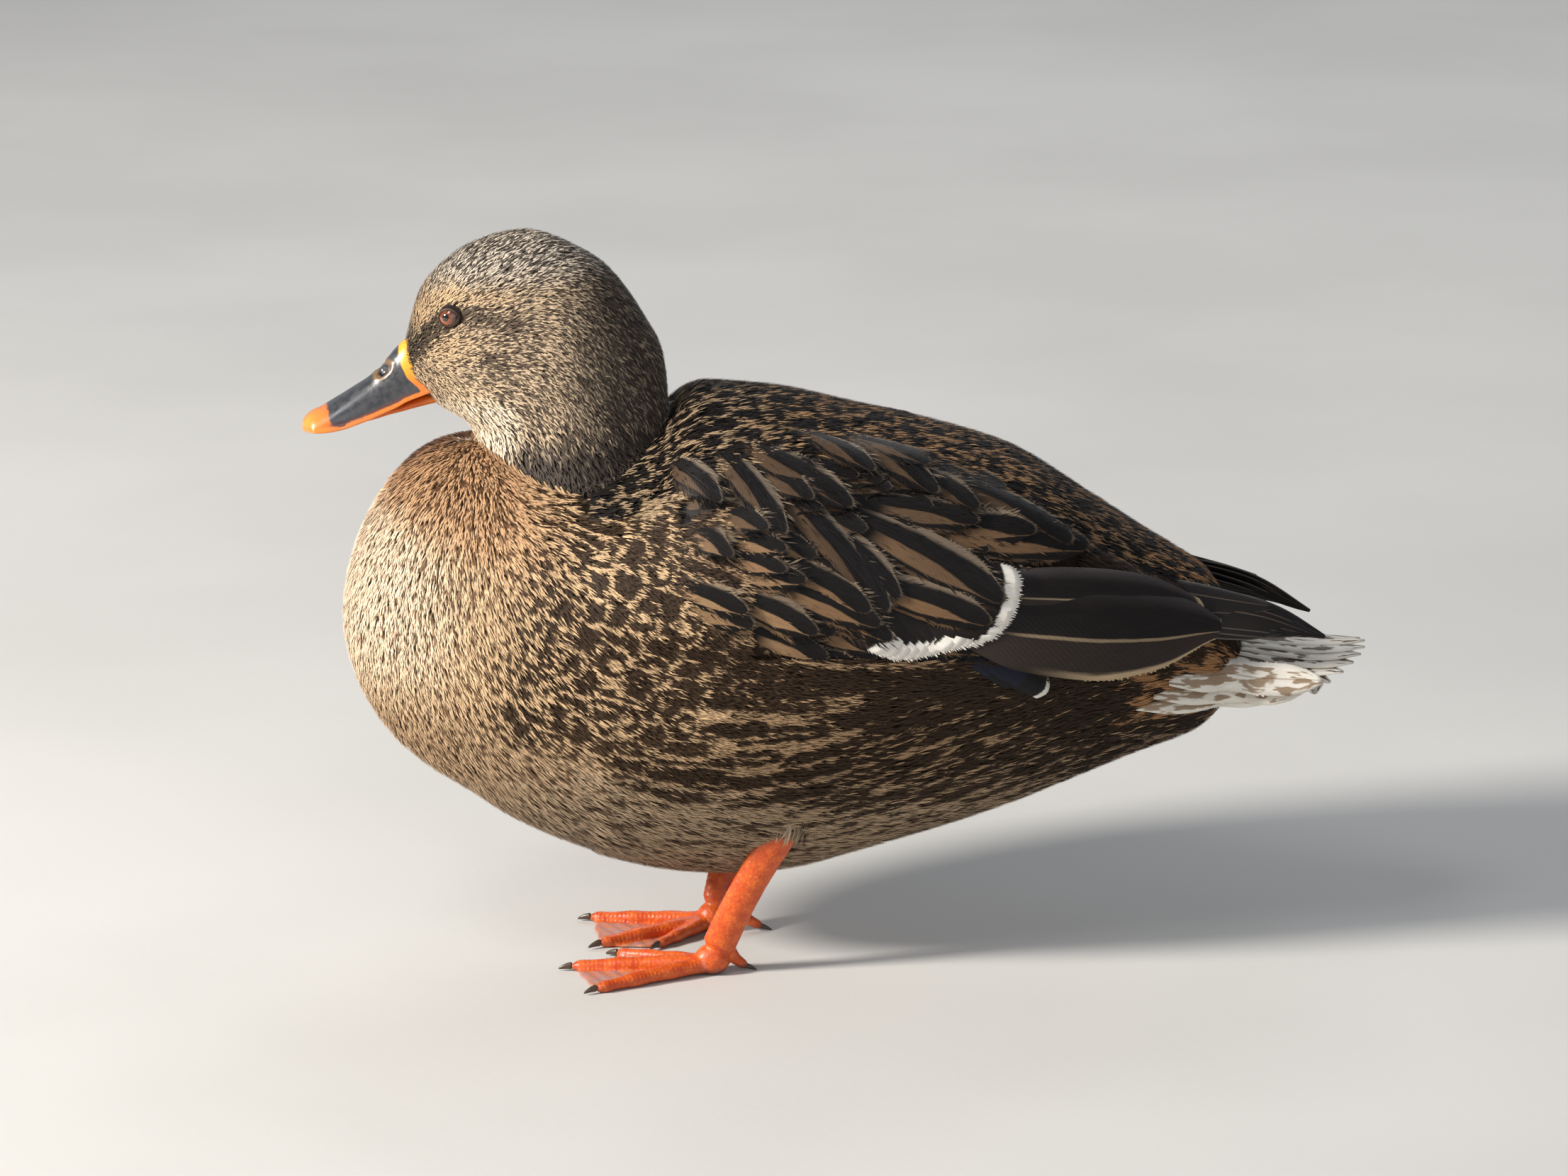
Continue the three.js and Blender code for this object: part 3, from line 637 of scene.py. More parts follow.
def scatter(keep, along, across, gen, dense=5.0, space=None):
    """Roots spread over the skin, at least about one spacing apart: along and across the lie."""
    P, area = face_samples(10, keep, gen)
    count = int(area / (along * across) * dense)
    P, _ = face_samples(count, keep, gen)
    P = P[keep(P)]
    d0, N = field(P)
    P = P - d0[:, None] * N
    D = flow(P, N)
    B = unit(np.cross(N, D))
    K = np.ones(len(P)) if space is None else space(P)
    cell = max(along, across) * max(1.0, float(K.max()))
    key = np.floor((P + 500) / cell).astype(int)
    grid, kept = {}, []
    Pl, Dl, Bl = P.tolist(), D.tolist(), B.tolist()
    kl = K.tolist()
    ia, ib = 1 / (along * 0.93) ** 2, 1 / (across * 0.93) ** 2
    for i, (a, b, c) in enumerate(key.tolist()):
        p, d, bb = Pl[i], Dl[i], Bl[i]
        k2 = kl[i] ** 2
        ok = True
        for x in (a - 1, a, a + 1):
            for y in (b - 1, b, b + 1):
                for z in (c - 1, c, c + 1):
                    for j in grid.get((x, y, z), ()):
                        q = Pl[j]
                        e0, e1, e2 = p[0] - q[0], p[1] - q[1], p[2] - q[2]
                        u = e0 * d[0] + e1 * d[1] + e2 * d[2]
                        w = e0 * bb[0] + e1 * bb[1] + e2 * bb[2]
                        if u * u * ia + w * w * ib < k2:
                            ok = False
                            break
                    if not ok:
                        break
                if not ok:
                    break
            if not ok:
                break
        if ok:
            grid.setdefault((a, b, c), []).append(i)
            kept.append(i)
    kept = np.array(kept)
    return P[kept], N[kept], D[kept]


def turned(D, N, angle):
    """Directions D turned about N by an angle in radians."""
    c, s = np.cos(angle)[:, None], np.sin(angle)[:, None]
    return unit(D * c + np.cross(N, D) * s)


def wrap_place(p):
    """Where a root lies on the unwrapped skin: along the body or up the head, and around it."""
    hd = is_head(p)
    a_body = np.arctan2(p[:, 2] - 138, np.abs(p[:, 1])) / np.pi + 0.5
    a_head = np.arctan2(np.abs(p[:, 1]), -(p[:, 0] + 64)) / np.pi
    s = np.where(hd, (p[:, 2] - 180) / 125, (p[:, 0] + 150) / 375)
    t = np.where(hd, a_head, a_body)
    return np.stack([np.clip(s, 0, 1), np.clip(t, 0, 1)], -1)


ROWS_U = np.array([0.0, 0.28, 0.52, 0.72, 0.87, 0.96, 1.0])


class Coat:
    """One piece of the coat, gathered from many feathers."""

    def __init__(self, name, slot, mat):
        self.name, self.slot, self.mat = name, slot, mat
        self.V, self.F, self.A, self.roots, self.local, self.owner = [], [], {}, [], [], []
        self.n, self.feathers = 0, 0

    def add(self, V, F, place, owner, roots, **attrs):
        self.V.append(V)
        self.F += [f + self.n for f in F]
        for k, v in dict(place=place, **attrs).items():
            self.A.setdefault(k, []).append(v)
        self.owner.append(owner + self.feathers)
        self.roots.append(roots)
        self.n += len(V)
        self.feathers += len(roots)

    def build(self, cells=True):
        V = np.concatenate(self.V)
        place = np.concatenate(self.A["place"])
        owner = np.concatenate(self.owner)
        R = wrap_place(np.concatenate(self.roots))
        n = len(R)
        if cells:
            m = int(math.ceil(math.sqrt(n)))
            order = np.argsort(R[:, 1], kind="stable")
            cell = np.zeros((n, 2))
            for r in range(m):
                line = order[r * m:(r + 1) * m]
                line = line[np.argsort(R[line, 0], kind="stable")]
                cell[line, 0] = (np.arange(len(line)) + 0.5) / m
                cell[line, 1] = (r + 0.5) / m
            uv = cell[owner] + np.stack([np.clip(place[:, 0], -1, 1) * 0.43, (np.clip(place[:, 1], 0, 1) - 0.5) * 0.86], -1) / m
        else:
            lo, hi = R.min(0), R.max(0)
            at = 0.01 + 0.98 * (R - lo) / np.maximum(hi - lo, 1e-6)
            uv = at[owner] + np.stack([np.clip(place[:, 0], -1, 1) * 0.5, np.clip(place[:, 1], 0, 1) - 0.5], -1) * 0.003
            uv = np.clip(uv, 0, 1)
        tris = sum((f.shape[1] - 2) * len(f) for f in self.F)
        ob = make_mesh(self.name, V, self.F, {"OFBake": uv}, {k: np.concatenate(v) for k, v in self.A.items()})
        dress(ob, self.mat)
        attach(ob, "root")
        print(f"coat {self.name}: {n} feathers, {tris} triangles")
        return ob


def vanes(coat, P, N, D, L, W, *, lift=(0.5, 3.2), rise=1.1, camber=1.0, fringe=18, hair=1.8, nu=5,
          shape=(0.45, 0.80, 0.98, 1.0, 0.94, 0.80, 0.66), tip=0.55, bend=0.0, gen=None, follow=0.0,
          turn=16.0, seat=True, looks=None, roll=None, rows=None, splay=0.55, barbs=0, barb=(4.5, 0.95), from_v=0.5):
    """Feather vanes from roots P on the skin, pointing D, of lengths L and widths W."""
    n = len(P)
    gen = gen or rng
    U = ROWS_U if rows is None else rows
    shape = np.interp(np.linspace(0, 1, len(U)), np.linspace(0, 1, len(shape)), shape)
    L = np.broadcast_to(np.asarray(L, float), (n,)).copy()
    W = np.broadcast_to(np.asarray(W, float), (n,)).copy()
    bend = np.broadcast_to(np.asarray(bend, float), (n,))
    h0 = np.broadcast_to(np.asarray(lift[0], float), (n,))
    h1 = np.broadcast_to(np.asarray(lift[1], float), (n,))
    h1 = h1 + gen.uniform(-0.35, 0.35, n)
    roll = gen.uniform(-0.03, 0.03, n) if roll is None else np.broadcast_to(np.asarray(roll, float), (n,))
    nv = len(U)
    S, NN, DD = [P], [N], [D]
    p, d, nn = P, D, N
    for k in range(1, nv):
        st = (L * (U[k] - U[k - 1]))[:, None]
        d = turned(d, nn, bend * (U[k] - U[k - 1]))
        if follow:
            d = unit(d * (1 - follow) + flow(p, nn) * follow)
        q = p + d * st
        dist, g = field(q)
        cap_down = st[:, 0] * math.tan(math.radians(turn))
        q = q - g * np.where(dist > 0, np.minimum(dist, cap_down), dist)[:, None]
        d = unit(q - p)
        g = unit(g - (g * d).sum(-1, keepdims=True) * d)
        p, nn = q, g
        S.append(p)
        NN.append(nn)
        DD.append(d)
    S, NN, DD = np.stack(S, 1), np.stack(NN, 1), np.stack(DD, 1)
    B = unit(np.cross(NN, DD))
    c = np.linspace(-1, 1, nu)
    half = (W[:, None] / 2) * shape[None]
    back = (tip * W[:, None] * (U[None] ** 2))[:, :, None] * (1 - np.cos(c * np.pi / 2))[None, None]
    Q = S[:, :, None] + B[:, :, None] * (half[:, :, None] * c)[..., None] - DD[:, :, None] * back[..., None]
    h = h0[:, None] + (h1 - h0)[:, None] * U[None] ** rise
    hh = h[:, :, None] - camber * (c ** 2)[None, None] * (half / np.maximum(half.max(), 1e-6))[:, :, None] + (roll[:, None] * W[:, None] * 0.5)[:, :, None] * c
    if seat:
        dist, g = field(Q)
        lim = np.abs(half[:, :, None] * c) * 0.75
        Q = Q - g * np.where(dist > 0, np.minimum(dist, lim), dist)[..., None]
        G = Q + g * hh[..., None]
    else:
        G = Q + NN[:, :, None] * hh[..., None]
    grid = G.reshape(n, -1, 3)
    quads = grid_faces(nv, nu)
    F = (quads[None] + (np.arange(n) * nv * nu)[:, None, None]).reshape(-1, 4)
    fu = np.broadcast_to(c[None, :], (nv, nu))
    fv = np.broadcast_to(U[:, None] - tip * 0.0, (nv, nu))
    seed = gen.random(n)
    place = np.stack([np.broadcast_to(fu[None], (n, nv, nu)), np.broadcast_to(fv[None], (n, nv, nu)),
                      np.broadcast_to(seed[:, None, None], (n, nv, nu))], -1).reshape(-1, 3)
    V, faces, owner = grid.reshape(-1, 3), [F], np.repeat(np.arange(n), nv * nu)
    if fringe:
        k0 = nv // 2
        ring = [(k, 0) for k in range(k0, nv)] + [(nv - 1, j) for j in range(1, nu)] + [(k, nu - 1) for k in range(nv - 2, k0 - 1, -1)]
        ri = np.array([a * nu + b for a, b in ring])
        seg = np.linalg.norm(np.diff(grid[:, ri], axis=1), axis=2)
        cum = np.concatenate([np.zeros((n, 1)), np.cumsum(seg, 1)], 1)
        tpos = (np.arange(fringe)[None] + gen.uniform(0.05, 0.95, (n, fringe))) / fringe * cum[:, -1:]
        idx = np.clip((tpos[:, :, None] >= cum[:, None, :]).sum(2) - 1, 0, len(ring) - 2)
        rowi = np.arange(n)[:, None]
        f = ((tpos - cum[rowi, idx]) / np.maximum(seg[rowi, idx], 1e-6))[..., None]
        a, b = grid[rowi, ri[idx]], grid[rowi, ri[idx + 1]]
        pb = a * (1 - f) + b * f
        pl = place.reshape(n, nv * nu, 3)
        la = pl[rowi, ri[idx]] * (1 - f) + pl[rowi, ri[idx + 1]] * f
        tng = unit(b - a)
        dt = np.broadcast_to(DD[:, -1][:, None], pb.shape)
        mid = S[:, nv // 2 + 1][:, None] + NN[:, nv // 2 + 1][:, None] * h[:, nv // 2 + 1][:, None, None]
        outw = unit(pb - mid)
        dirn = unit(outw * splay + dt * (1.1 - splay) + tng * gen.uniform(-0.25, 0.25, (n, fringe, 1)))
        ln = (hair * gen.uniform(0.45, 1.25, (n, fringe)))[..., None]
        bw = (cum[:, -1:] / fringe * gen.uniform(0.35, 0.62, (n, fringe)))[..., None]
        base = pb - dirn * (0.5 * hair)
        up = NN[:, -1][:, None] * gen.uniform(-0.1, 0.22, (n, fringe, 1)) * hair
        t0, t1, t2 = base - tng * bw, base + tng * bw, pb + dirn * ln + up
        T = np.stack([t0, t1, t2], 2).reshape(-1, 3)
        o = len(V)
        V = np.concatenate([V, T])
        faces.append(np.arange(n * fringe * 3).reshape(-1, 3)[:, ::-1] + o)
        lp = np.stack([la, la, la], 2)
        lp[:, :, 2, 0] *= 1.04
        lp[:, :, 2, 1] += 0.02
        place = np.concatenate([place, lp.reshape(-1, 3)])
        owner = np.concatenate([owner, np.repeat(np.arange(n), fringe * 3)])
    strand = np.zeros(len(V))
    if barbs:
        # single barbs that rise out of the vane and lie back along it
        bv = gen.uniform(from_v, 0.99, (n, barbs)) ** 0.8
        bc = gen.uniform(-0.96, 0.96, (n, barbs))
        kk = np.clip(np.searchsorted(U, bv) - 1, 0, nv - 2)
        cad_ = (bv - U[kk]) / (U[kk + 1] - U[kk])
        jj = np.clip(((bc + 1) / 2 * (nu - 1)).astype(int), 0, nu - 2)
        fj = (bc + 1) / 2 * (nu - 1) - jj
        rowi = np.arange(n)[:, None]
        w00, w01, w10, w11 = [w[..., None] for w in ((1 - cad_) * (1 - fj), (1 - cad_) * fj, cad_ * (1 - fj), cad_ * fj)]
        base = G[rowi, kk, jj] * w00 + G[rowi, kk, jj + 1] * w01 + G[rowi, kk + 1, jj] * w10 + G[rowi, kk + 1, jj + 1] * w11
        dl, nl, bl = DD[rowi, kk + 1], NN[rowi, kk + 1], B[rowi, kk + 1]
        an = (bc * 0.42 + gen.normal(0, 0.13, (n, barbs)))[..., None]
        dirn = unit(dl * np.cos(an) + bl * np.sin(an))
        acr = np.cross(nl, dirn)
        ln = (barb[0] * gen.uniform(0.6, 1.3, (n, barbs)))[..., None]
        wd = (barb[1] * gen.uniform(0.6, 1.25, (n, barbs)))[..., None] / 2
        lift_t = gen.uniform(0.10, 0.55, (n, barbs, 1))
        q0 = base - nl * 0.12
        q1 = base + dirn * ln * 0.5 + acr * wd + nl * lift_t * 0.75
        q2 = base + dirn * ln + nl * lift_t
        q3 = base + dirn * ln * 0.5 - acr * wd + nl * lift_t * 0.75
        T = np.stack([q0, q1, q2, q3], 2).reshape(-1, 3)
        du = (np.sin(an[..., 0]) * ln[..., 0]) / (W[:, None] / 2)
        dv = (np.cos(an[..., 0]) * ln[..., 0]) / L[:, None]
        pl4 = np.stack([np.stack([bc + du * f * 0.25, np.minimum(bv + dv * f * 0.15, np.maximum(bv, 0.985)), np.broadcast_to(seed[:, None], bc.shape)], -1) for f in (0, 0.5, 1.0, 0.5)], 2)
        o = len(V)
        V = np.concatenate([V, T])
        faces.append(np.arange(n * barbs * 4).reshape(-1, 4)[:, ::-1] + o)
        place = np.concatenate([place, pl4.reshape(-1, 3)])
        owner = np.concatenate([owner, np.repeat(np.arange(n), barbs * 4)])
        strand = np.concatenate([strand, np.repeat(gen.uniform(-1, 1, n * barbs), 4)])
    at = {k: np.broadcast_to(np.asarray(v, float), (n, 3))[owner] for k, v in looks.items()}
    coat.add(V, faces, place, owner, P, hair=strand, **at)
    return G


def looks(n, dark, pale, base=0.0, spot=0.0, shaft=0.0, edge=0.0, bar=0.0, centre=0.0, web=1.0, grey=0.0, wide=0.0,
          gen=None, vary=0.10):
    """The marks of n feathers, each a number or one value a feather."""
    gen = gen or rng
    full = lambda v: np.broadcast_to(np.asarray(v, float), (n,))
    tint = 1 + gen.normal(0, vary, (n, 1)) * np.array([[1.0, 1.05, 1.15]])
    return dict(
        marks_a=np.stack([full(base), full(spot), full(shaft)], -1),
        marks_b=np.stack([full(edge), full(bar), full(centre)], -1),
        marks_c=np.stack([full(web), full(grey), full(wide)], -1),
        dark=np.clip(np.broadcast_to(dark, (n, 3)) * tint, 0.002, 1),
        pale=np.clip(np.broadcast_to(pale, (n, 3)) * (1 + gen.normal(0, vary, (n, 1)) * np.array([[0.8, 1.0, 1.2]])), 0.002, 1))


def blended(w, *colours):
    """Weighted mean of colours, w (n, k)."""
    w = w / np.maximum(w.sum(1, keepdims=True), 1e-6)
    return w @ np.array(colours)


def spread(p, cx, cz, rx, rz):
    """A soft round area of the side view, 1 in the middle and 0 outside."""
    return np.exp(-(((p[:, 0] - cx) / rx) ** 2 + ((p[:, 2] - cz) / rz) ** 2))


def near_line(p, a, b, r):
    """1 on the side-view line from a to b, falling to 0 about r away."""
    a, b = np.array(a, float), np.array(b, float)
    q = p[:, [0, 2]]
    t = np.clip(((q - a) @ (b - a)) / ((b - a) @ (b - a)), 0, 1)
    d = np.linalg.norm(q - a - t[:, None] * (b - a), axis=1)
    return np.exp(-(d / r) ** 2)


CREAM, BUFF, OCHRE = srgb(226, 200, 160), srgb(196, 160, 114), srgb(160, 114, 70)
UMBER, BLACKISH, GREYBUFF = srgb(70, 48, 31), srgb(30, 23, 19), srgb(150, 128, 102)
RUST = srgb(150, 98, 56)
WHITE = srgb(232, 226, 215)


# ------------------------------------------------------------------- head coat
def head_tone(p, gen):
    """Colour of a head tuft: streaks of dark among buff, after the face's markings, with painted shade on the nape and
    the base of the neck and a painted highlight on the crown.
    """
    x, z, y = p[:, 0], p[:, 2], np.abs(p[:, 1])
    share = np.full(len(p), 0.40)
    crown = smooth(-4, 9, z - (275.5 + 0.10 * (x + 110))) * smooth(-122, -108, x)
    share = np.maximum(share, 0.58 * crown)
    lore = near_line(p, (-121.5, 247.5), (-108.5, 263.2), 3.6)
    back = near_line(p, (-99, 267), (-78, 263.0), 3.6)
    smudge = spread(p, -89, 250, 10, 5.0)
    brow = near_line(p, (-117, 262), (-104, 273.5), 3.6) + 0.5 * near_line(p, (-104, 273.5), (-86, 272), 2.6)
    under = spread(p, -107, 254, 10, 5.5)
    cheek = spread(p, -104, 240, 14, 8)
    throat = smooth(238, 226, z) * smooth(-76, -92, x)
    # the nape and the base of the neck darker: partly their own dark feathers, partly painted shade
    nape = smooth(-66, -38, x)
    low = smooth(226, 206, z) * smooth(-92, -66, x)
    share = share * (1 - 0.80 * np.clip(brow, 0, 1)) * (1 - 0.72 * under) * (1 - 0.45 * cheek) * (1 - 0.93 * throat)
    share = share + 0.80 * lore + 0.50 * back + 0.34 * smudge + 0.36 * nape + 0.80 * low
    share = np.clip(share, 0.02, 0.96)
    # the dark grey colour given to the nape and the base of the neck is partly painted shade; the silver-grey on the
    # crown is partly a painted highlight along its rim
    w = np.stack([np.full(len(p), 1.0), 1.8 * np.clip(brow + under, 0, 1.2), 3.4 * throat, 2.2 * nape + 3.0 * low,
                  0.9 * cheek, 2.4 * crown], 1)
    pale = blended(w, srgb(190, 166, 136), srgb(206, 172, 130), srgb(248, 232, 206), srgb(80, 73, 64), srgb(206, 180, 144), srgb(200, 190, 176))
    dark = blended(np.stack([np.full(len(p), 1.0), 1.6 * crown + 2 * lore + 1.4 * nape + 2 * low], 1), srgb(62, 48, 38), srgb(26, 22, 20))
    deep = gen.random(len(p)) < share
    mid = gen.random(len(p)) * 0.45
    tone = np.where(deep[:, None], dark * (1 - mid[:, None] * 0.4) + pale * mid[:, None] * 0.4, pale * (1 - mid[:, None] * 0.5) + dark * mid[:, None] * 0.5)
    return tone * gen.uniform(0.86, 1.14, (len(p), 1))


def tuft_material(name, sheen=0.10, rough=0.66, spec=0.30):
    g = Graph(name)
    fu, fv, seed = g.parts("place")
    tone = g.colour("tone")
    fine = g.noise(g.vec(fu * 2.0 + seed * 41.0, fv * 2.0, seed * 17.0), 2.2, 2.0)
    shade = g.step(fv, 0.0, 1.0, lo=0.80, hi=1.12) * g.step(fine, 0.25, 0.75, lo=0.88, hi=1.10)
    col = g.mix(1.0, tone, g.vec(shade, shade, shade), "MULTIPLY")
    n = g.bump(fine + g.step(fu.abs(), 0.6, 0.0) * 0.6, 0.0001, 0.4)
    g.out(col, g.step(fine, 0.2, 0.8, lo=rough - 0.06, hi=rough + 0.08), n, Specular_IOR_Level=spec,
          Sheen_Weight=sheen, Sheen_Roughness=0.5, Sheen_Tint=(0.9, 0.8, 0.7))
    return g.mat


def tufts(coat, P, N, D, L, W, lift, tone, gen, sag=0.35):
    """Narrow blades of two faces lying back from their roots."""
    n = len(P)
    L, W = np.broadcast_to(L, (n,)), np.broadcast_to(W, (n,))
    B = unit(np.cross(N, D))
    h = lift * gen.uniform(0.75, 1.3, n)
    side = gen.uniform(-0.16, 0.16, n)
    spots = [(0.0, -0.42, -0.25), (0.0, 0.42, -0.25), (0.50, -0.5, 0.72), (0.50, 0.5, 0.72), (1.0, 0.0, 1.0)]
    pts = []
    for v, c, k in spots:
        q = P + D * (L * v)[:, None] + B * (W * c + L * side * v * v)[:, None]
        dist, g = field(q)
        q = q - g * np.where(dist > 0, dist * (1 - sag), dist)[:, None]
        pts.append(q + g * (h * k)[:, None])
    V = np.stack(pts, 1).reshape(-1, 3)
    o = np.arange(n)[:, None] * 5
    F = [o + np.array([[0, 1, 3, 2]]), o + np.array([[2, 3, 4]])]
    seed = gen.random(n)
    place = np.stack([np.broadcast_to(np.array([-1, 1, -1, 1, 0.0]), (n, 5)), np.broadcast_to(np.array([0, 0, .5, .5, 1.0]), (n, 5)),
                      np.broadcast_to(seed[:, None], (n, 5))], -1).reshape(-1, 3)
    owner = np.repeat(np.arange(n), 5)
    coat.add(V, F, place, owner, P, tone=tone[owner])


def eye_gap(p):
    q = p.copy()
    q[:, 1] = np.abs(q[:, 1])
    return np.linalg.norm((q - EYE) * [1, 0.7, 1.12], axis=1)


def on_bill(p):
    """Inside the bill's root, where no feathers grow."""
    x = p[:, 0]
    e, rdg, half = bill_upper(np.clip(x, -161.5, -108)).T
    return (x < feather_edge(p[:, 2]) - 0.8) & (np.abs(p[:, 1]) < half + 2.5) & (p[:, 2] < e + rdg * 0.98) & (p[:, 2] > 226)


tuft_mat = tuft_material("head_feathers")
for side, tag in ((-1, "left"), (1, "right")):
    gen = np.random.default_rng(7 + side)
    keep = lambda p, s=side: is_head(p) & (p[:, 1] * s > -0.6) & (p[:, 2] > 196)

    def face_space(p):
        k = 0.70 + 0.30 * smooth(-118, -84, p[:, 0])
        return k * (1 + 0.45 * smooth(236, 212, p[:, 2]))
    P, N, D = scatter(keep, 0.86, 0.42, gen, 3.4, face_space)
    ok = (eye_gap(P) > 5.0) & ~on_bill(P)
    P, N, D = P[ok], N[ok], D[ok]
    k = face_space(P)
    D = turned(D, N, gen.normal(0, 0.16, len(P)))
    coat = Coat("face_coat_" + tag, "head_plumage", tuft_mat)
    tufts(coat, P, N, D, 4.4 * k * gen.uniform(0.7, 1.25, len(P)), 0.66 * k, 1.4 * np.clip(k, 0.7, 1.4), head_tone(P, gen), gen)
    coat.build(cells=False)


# ------------------------------------------------------------------- body coat
WING_SHOWS = 2.0


def wing_share(p):
    """1 inside the area the folded wing covers, -1 well outside it, in side-view terms."""
    ang = np.degrees(np.arctan2(p[:, 2] - 135, np.abs(p[:, 1])))
    lo, hi = wing_low(p[:, 0])[:, 0], wing_top(p[:, 0])[:, 0]
    inside = np.minimum(ang - lo, hi - ang)
    along = np.minimum(p[:, 0] - WING_SHOWS, 150 - p[:, 0])
    return np.minimum(inside / 8, along / 8)


def above(p):
    ang = np.degrees(np.arctan2(p[:, 2] - 135, np.abs(p[:, 1])))
    return ang - np.where(p[:, 0] < -60, 40, wing_top(p[:, 0])[:, 0])


body_mat = plumage("body_feathers", hairy=1.15)
down_mat = plumage("breast_feathers", sheen=0.06, rough=0.56, spec=0.34, hairy=1.3)


def flank_share(p):
    """1 where the long striped flank feathers grow."""
    x, z = p[:, 0], p[:, 2]
    return np.maximum(smooth(-8, 8, x + 0.25 * (z - 120)), smooth(-56, -26, x) * smooth(112, 98, z)) * smooth(44, 94, z - 0.05 * np.abs(x - 60))


def side_shares(p):
    """How far each place of the side belongs to its regions."""
    x, z = p[:, 0], p[:, 2]
    flank = flank_share(p)
    return dict(
        flank=flank, should=smooth(-92, -66, x + 0.25 * (160 - z)) * smooth(94, 116, z) * (1 - flank),
        belly=smooth(100, 58, z - 0.08 * np.abs(x - 40)) * smooth(-108, -56, x), rear=smooth(105, 150, x),
        # the upper front of the breast is painted near white with few spots: painted sunlight
        topb=smooth(172, 198, z + 0.35 * (x + 100)) * smooth(-50, -84, x), cream=smooth(-92, -146, x) * smooth(104, 168, z) * smooth(214, 172, z),
        cov=smooth(150, 166, x) * smooth(100, 110, z) * smooth(136, 126, z), tailside=smooth(34, 74, x),
        lowf=smooth(130, 88, z) * smooth(-40, -80, x))


def side_colours(p):
    """Pale and dark colours of the side's feathers, by place."""
    k = side_shares(p)
    n = len(p)
    rest = 1 - 0.9 * k["belly"]
    # the near-white second colour is painted sunlight on the upper front of the breast
    pale = blended(np.stack([np.full(n, 1.0) * rest, 2.2 * k["cream"] * (1 - k["topb"]), 4.0 * k["flank"] * rest, 6.0 * k["belly"],
                             3.0 * k["topb"], 3.2 * k["should"] * rest, 3.0 * k["rear"] * smooth(108, 90, p[:, 2]), 3.0 * k["lowf"] * (1 - k["belly"]), 14.0 * k["cov"]], 1),
                   srgb(204, 173, 135), srgb(246, 228, 202), srgb(148, 119, 89), srgb(174, 151, 124), srgb(206, 160, 118),
                   srgb(204, 170, 130), srgb(142, 118, 96), srgb(168, 140, 110), srgb(156, 108, 66))
    dark = blended(np.stack([np.full(n, 1.0), 5.0 * k["flank"] + 4.0 * k["should"] + 3 * k["rear"], 2.4 * k["belly"] * (1 - k["rear"]),
                             1.5 * k["topb"]], 1),
                   srgb(104, 76, 52), srgb(17, 12, 9), srgb(64, 51, 40), srgb(80, 52, 34))
    return pale, dark, k


def side_looks(p, gen):
    """The vanes under the fine outer coat: the same colours, in shade."""
    pale, dark, k = side_colours(p)
    n = len(p)
    return looks(n, dark * 0.8, pale * 0.62, base=0.35 + 0.3 * k["flank"] + gen.uniform(-0.1, 0.1, n), spot=0.5, edge=0.3, gen=gen)


def along_lie(P, D, L, steps=4):
    """Where feathers rooted at P, following the lie, end, and their direction there."""
    p, d = P, D
    for _ in range(steps):
        q = p + d * (L / steps)[:, None]
        dist, g = field(q)
        q = q - g * dist[:, None]
        d = unit(q - p)
        d = unit(d * 0.6 + flow(q, g) * 0.4)
        p = q
    return p, d, field(p)[1]


def owners(p, T, D, N, L, W, gen):
    """For points p, which feather shows there, and the place on it: across -1 to 1, along 0 to 1."""
    B = unit(np.cross(N, D))
    order = np.argsort(p[:, 0])
    best = np.zeros(len(p), int)
    fu, fv = np.zeros(len(p)), np.zeros(len(p))
    step = 1200
    for a in range(0, len(p), step):
        idx = order[a:a + step]
        q = p[idx]
        cand = np.flatnonzero((T[:, 0] > q[0, 0] - 32) & (T[:, 0] < q[-1, 0] + 32))
        e = q[:, None] - T[None, cand]
        u = (e * D[None, cand]).sum(-1)
        w = (e * B[None, cand]).sum(-1) / (W[None, cand] / 2)
        far = np.abs((e * N[None, cand]).sum(-1))
        end = -0.34 * W[None, cand] * (1 - np.sqrt(np.clip(1 - w * w, 0, 1)))
        inside = (np.abs(w) < 1) & (u < end) & (far < 9)
        score = np.where(inside, u, -1000 - (e ** 2).sum(-1))
        k = np.argmax(score, axis=1)
        r = np.arange(len(q))
        best[idx] = cand[k]
        fu[idx] = np.clip(w[r, k], -1.2, 1.2)
        fv[idx] = np.clip(1 + (u[r, k] - end[r, k]) / L[cand[k]], 0, 1.02)
    return best, fu, fv


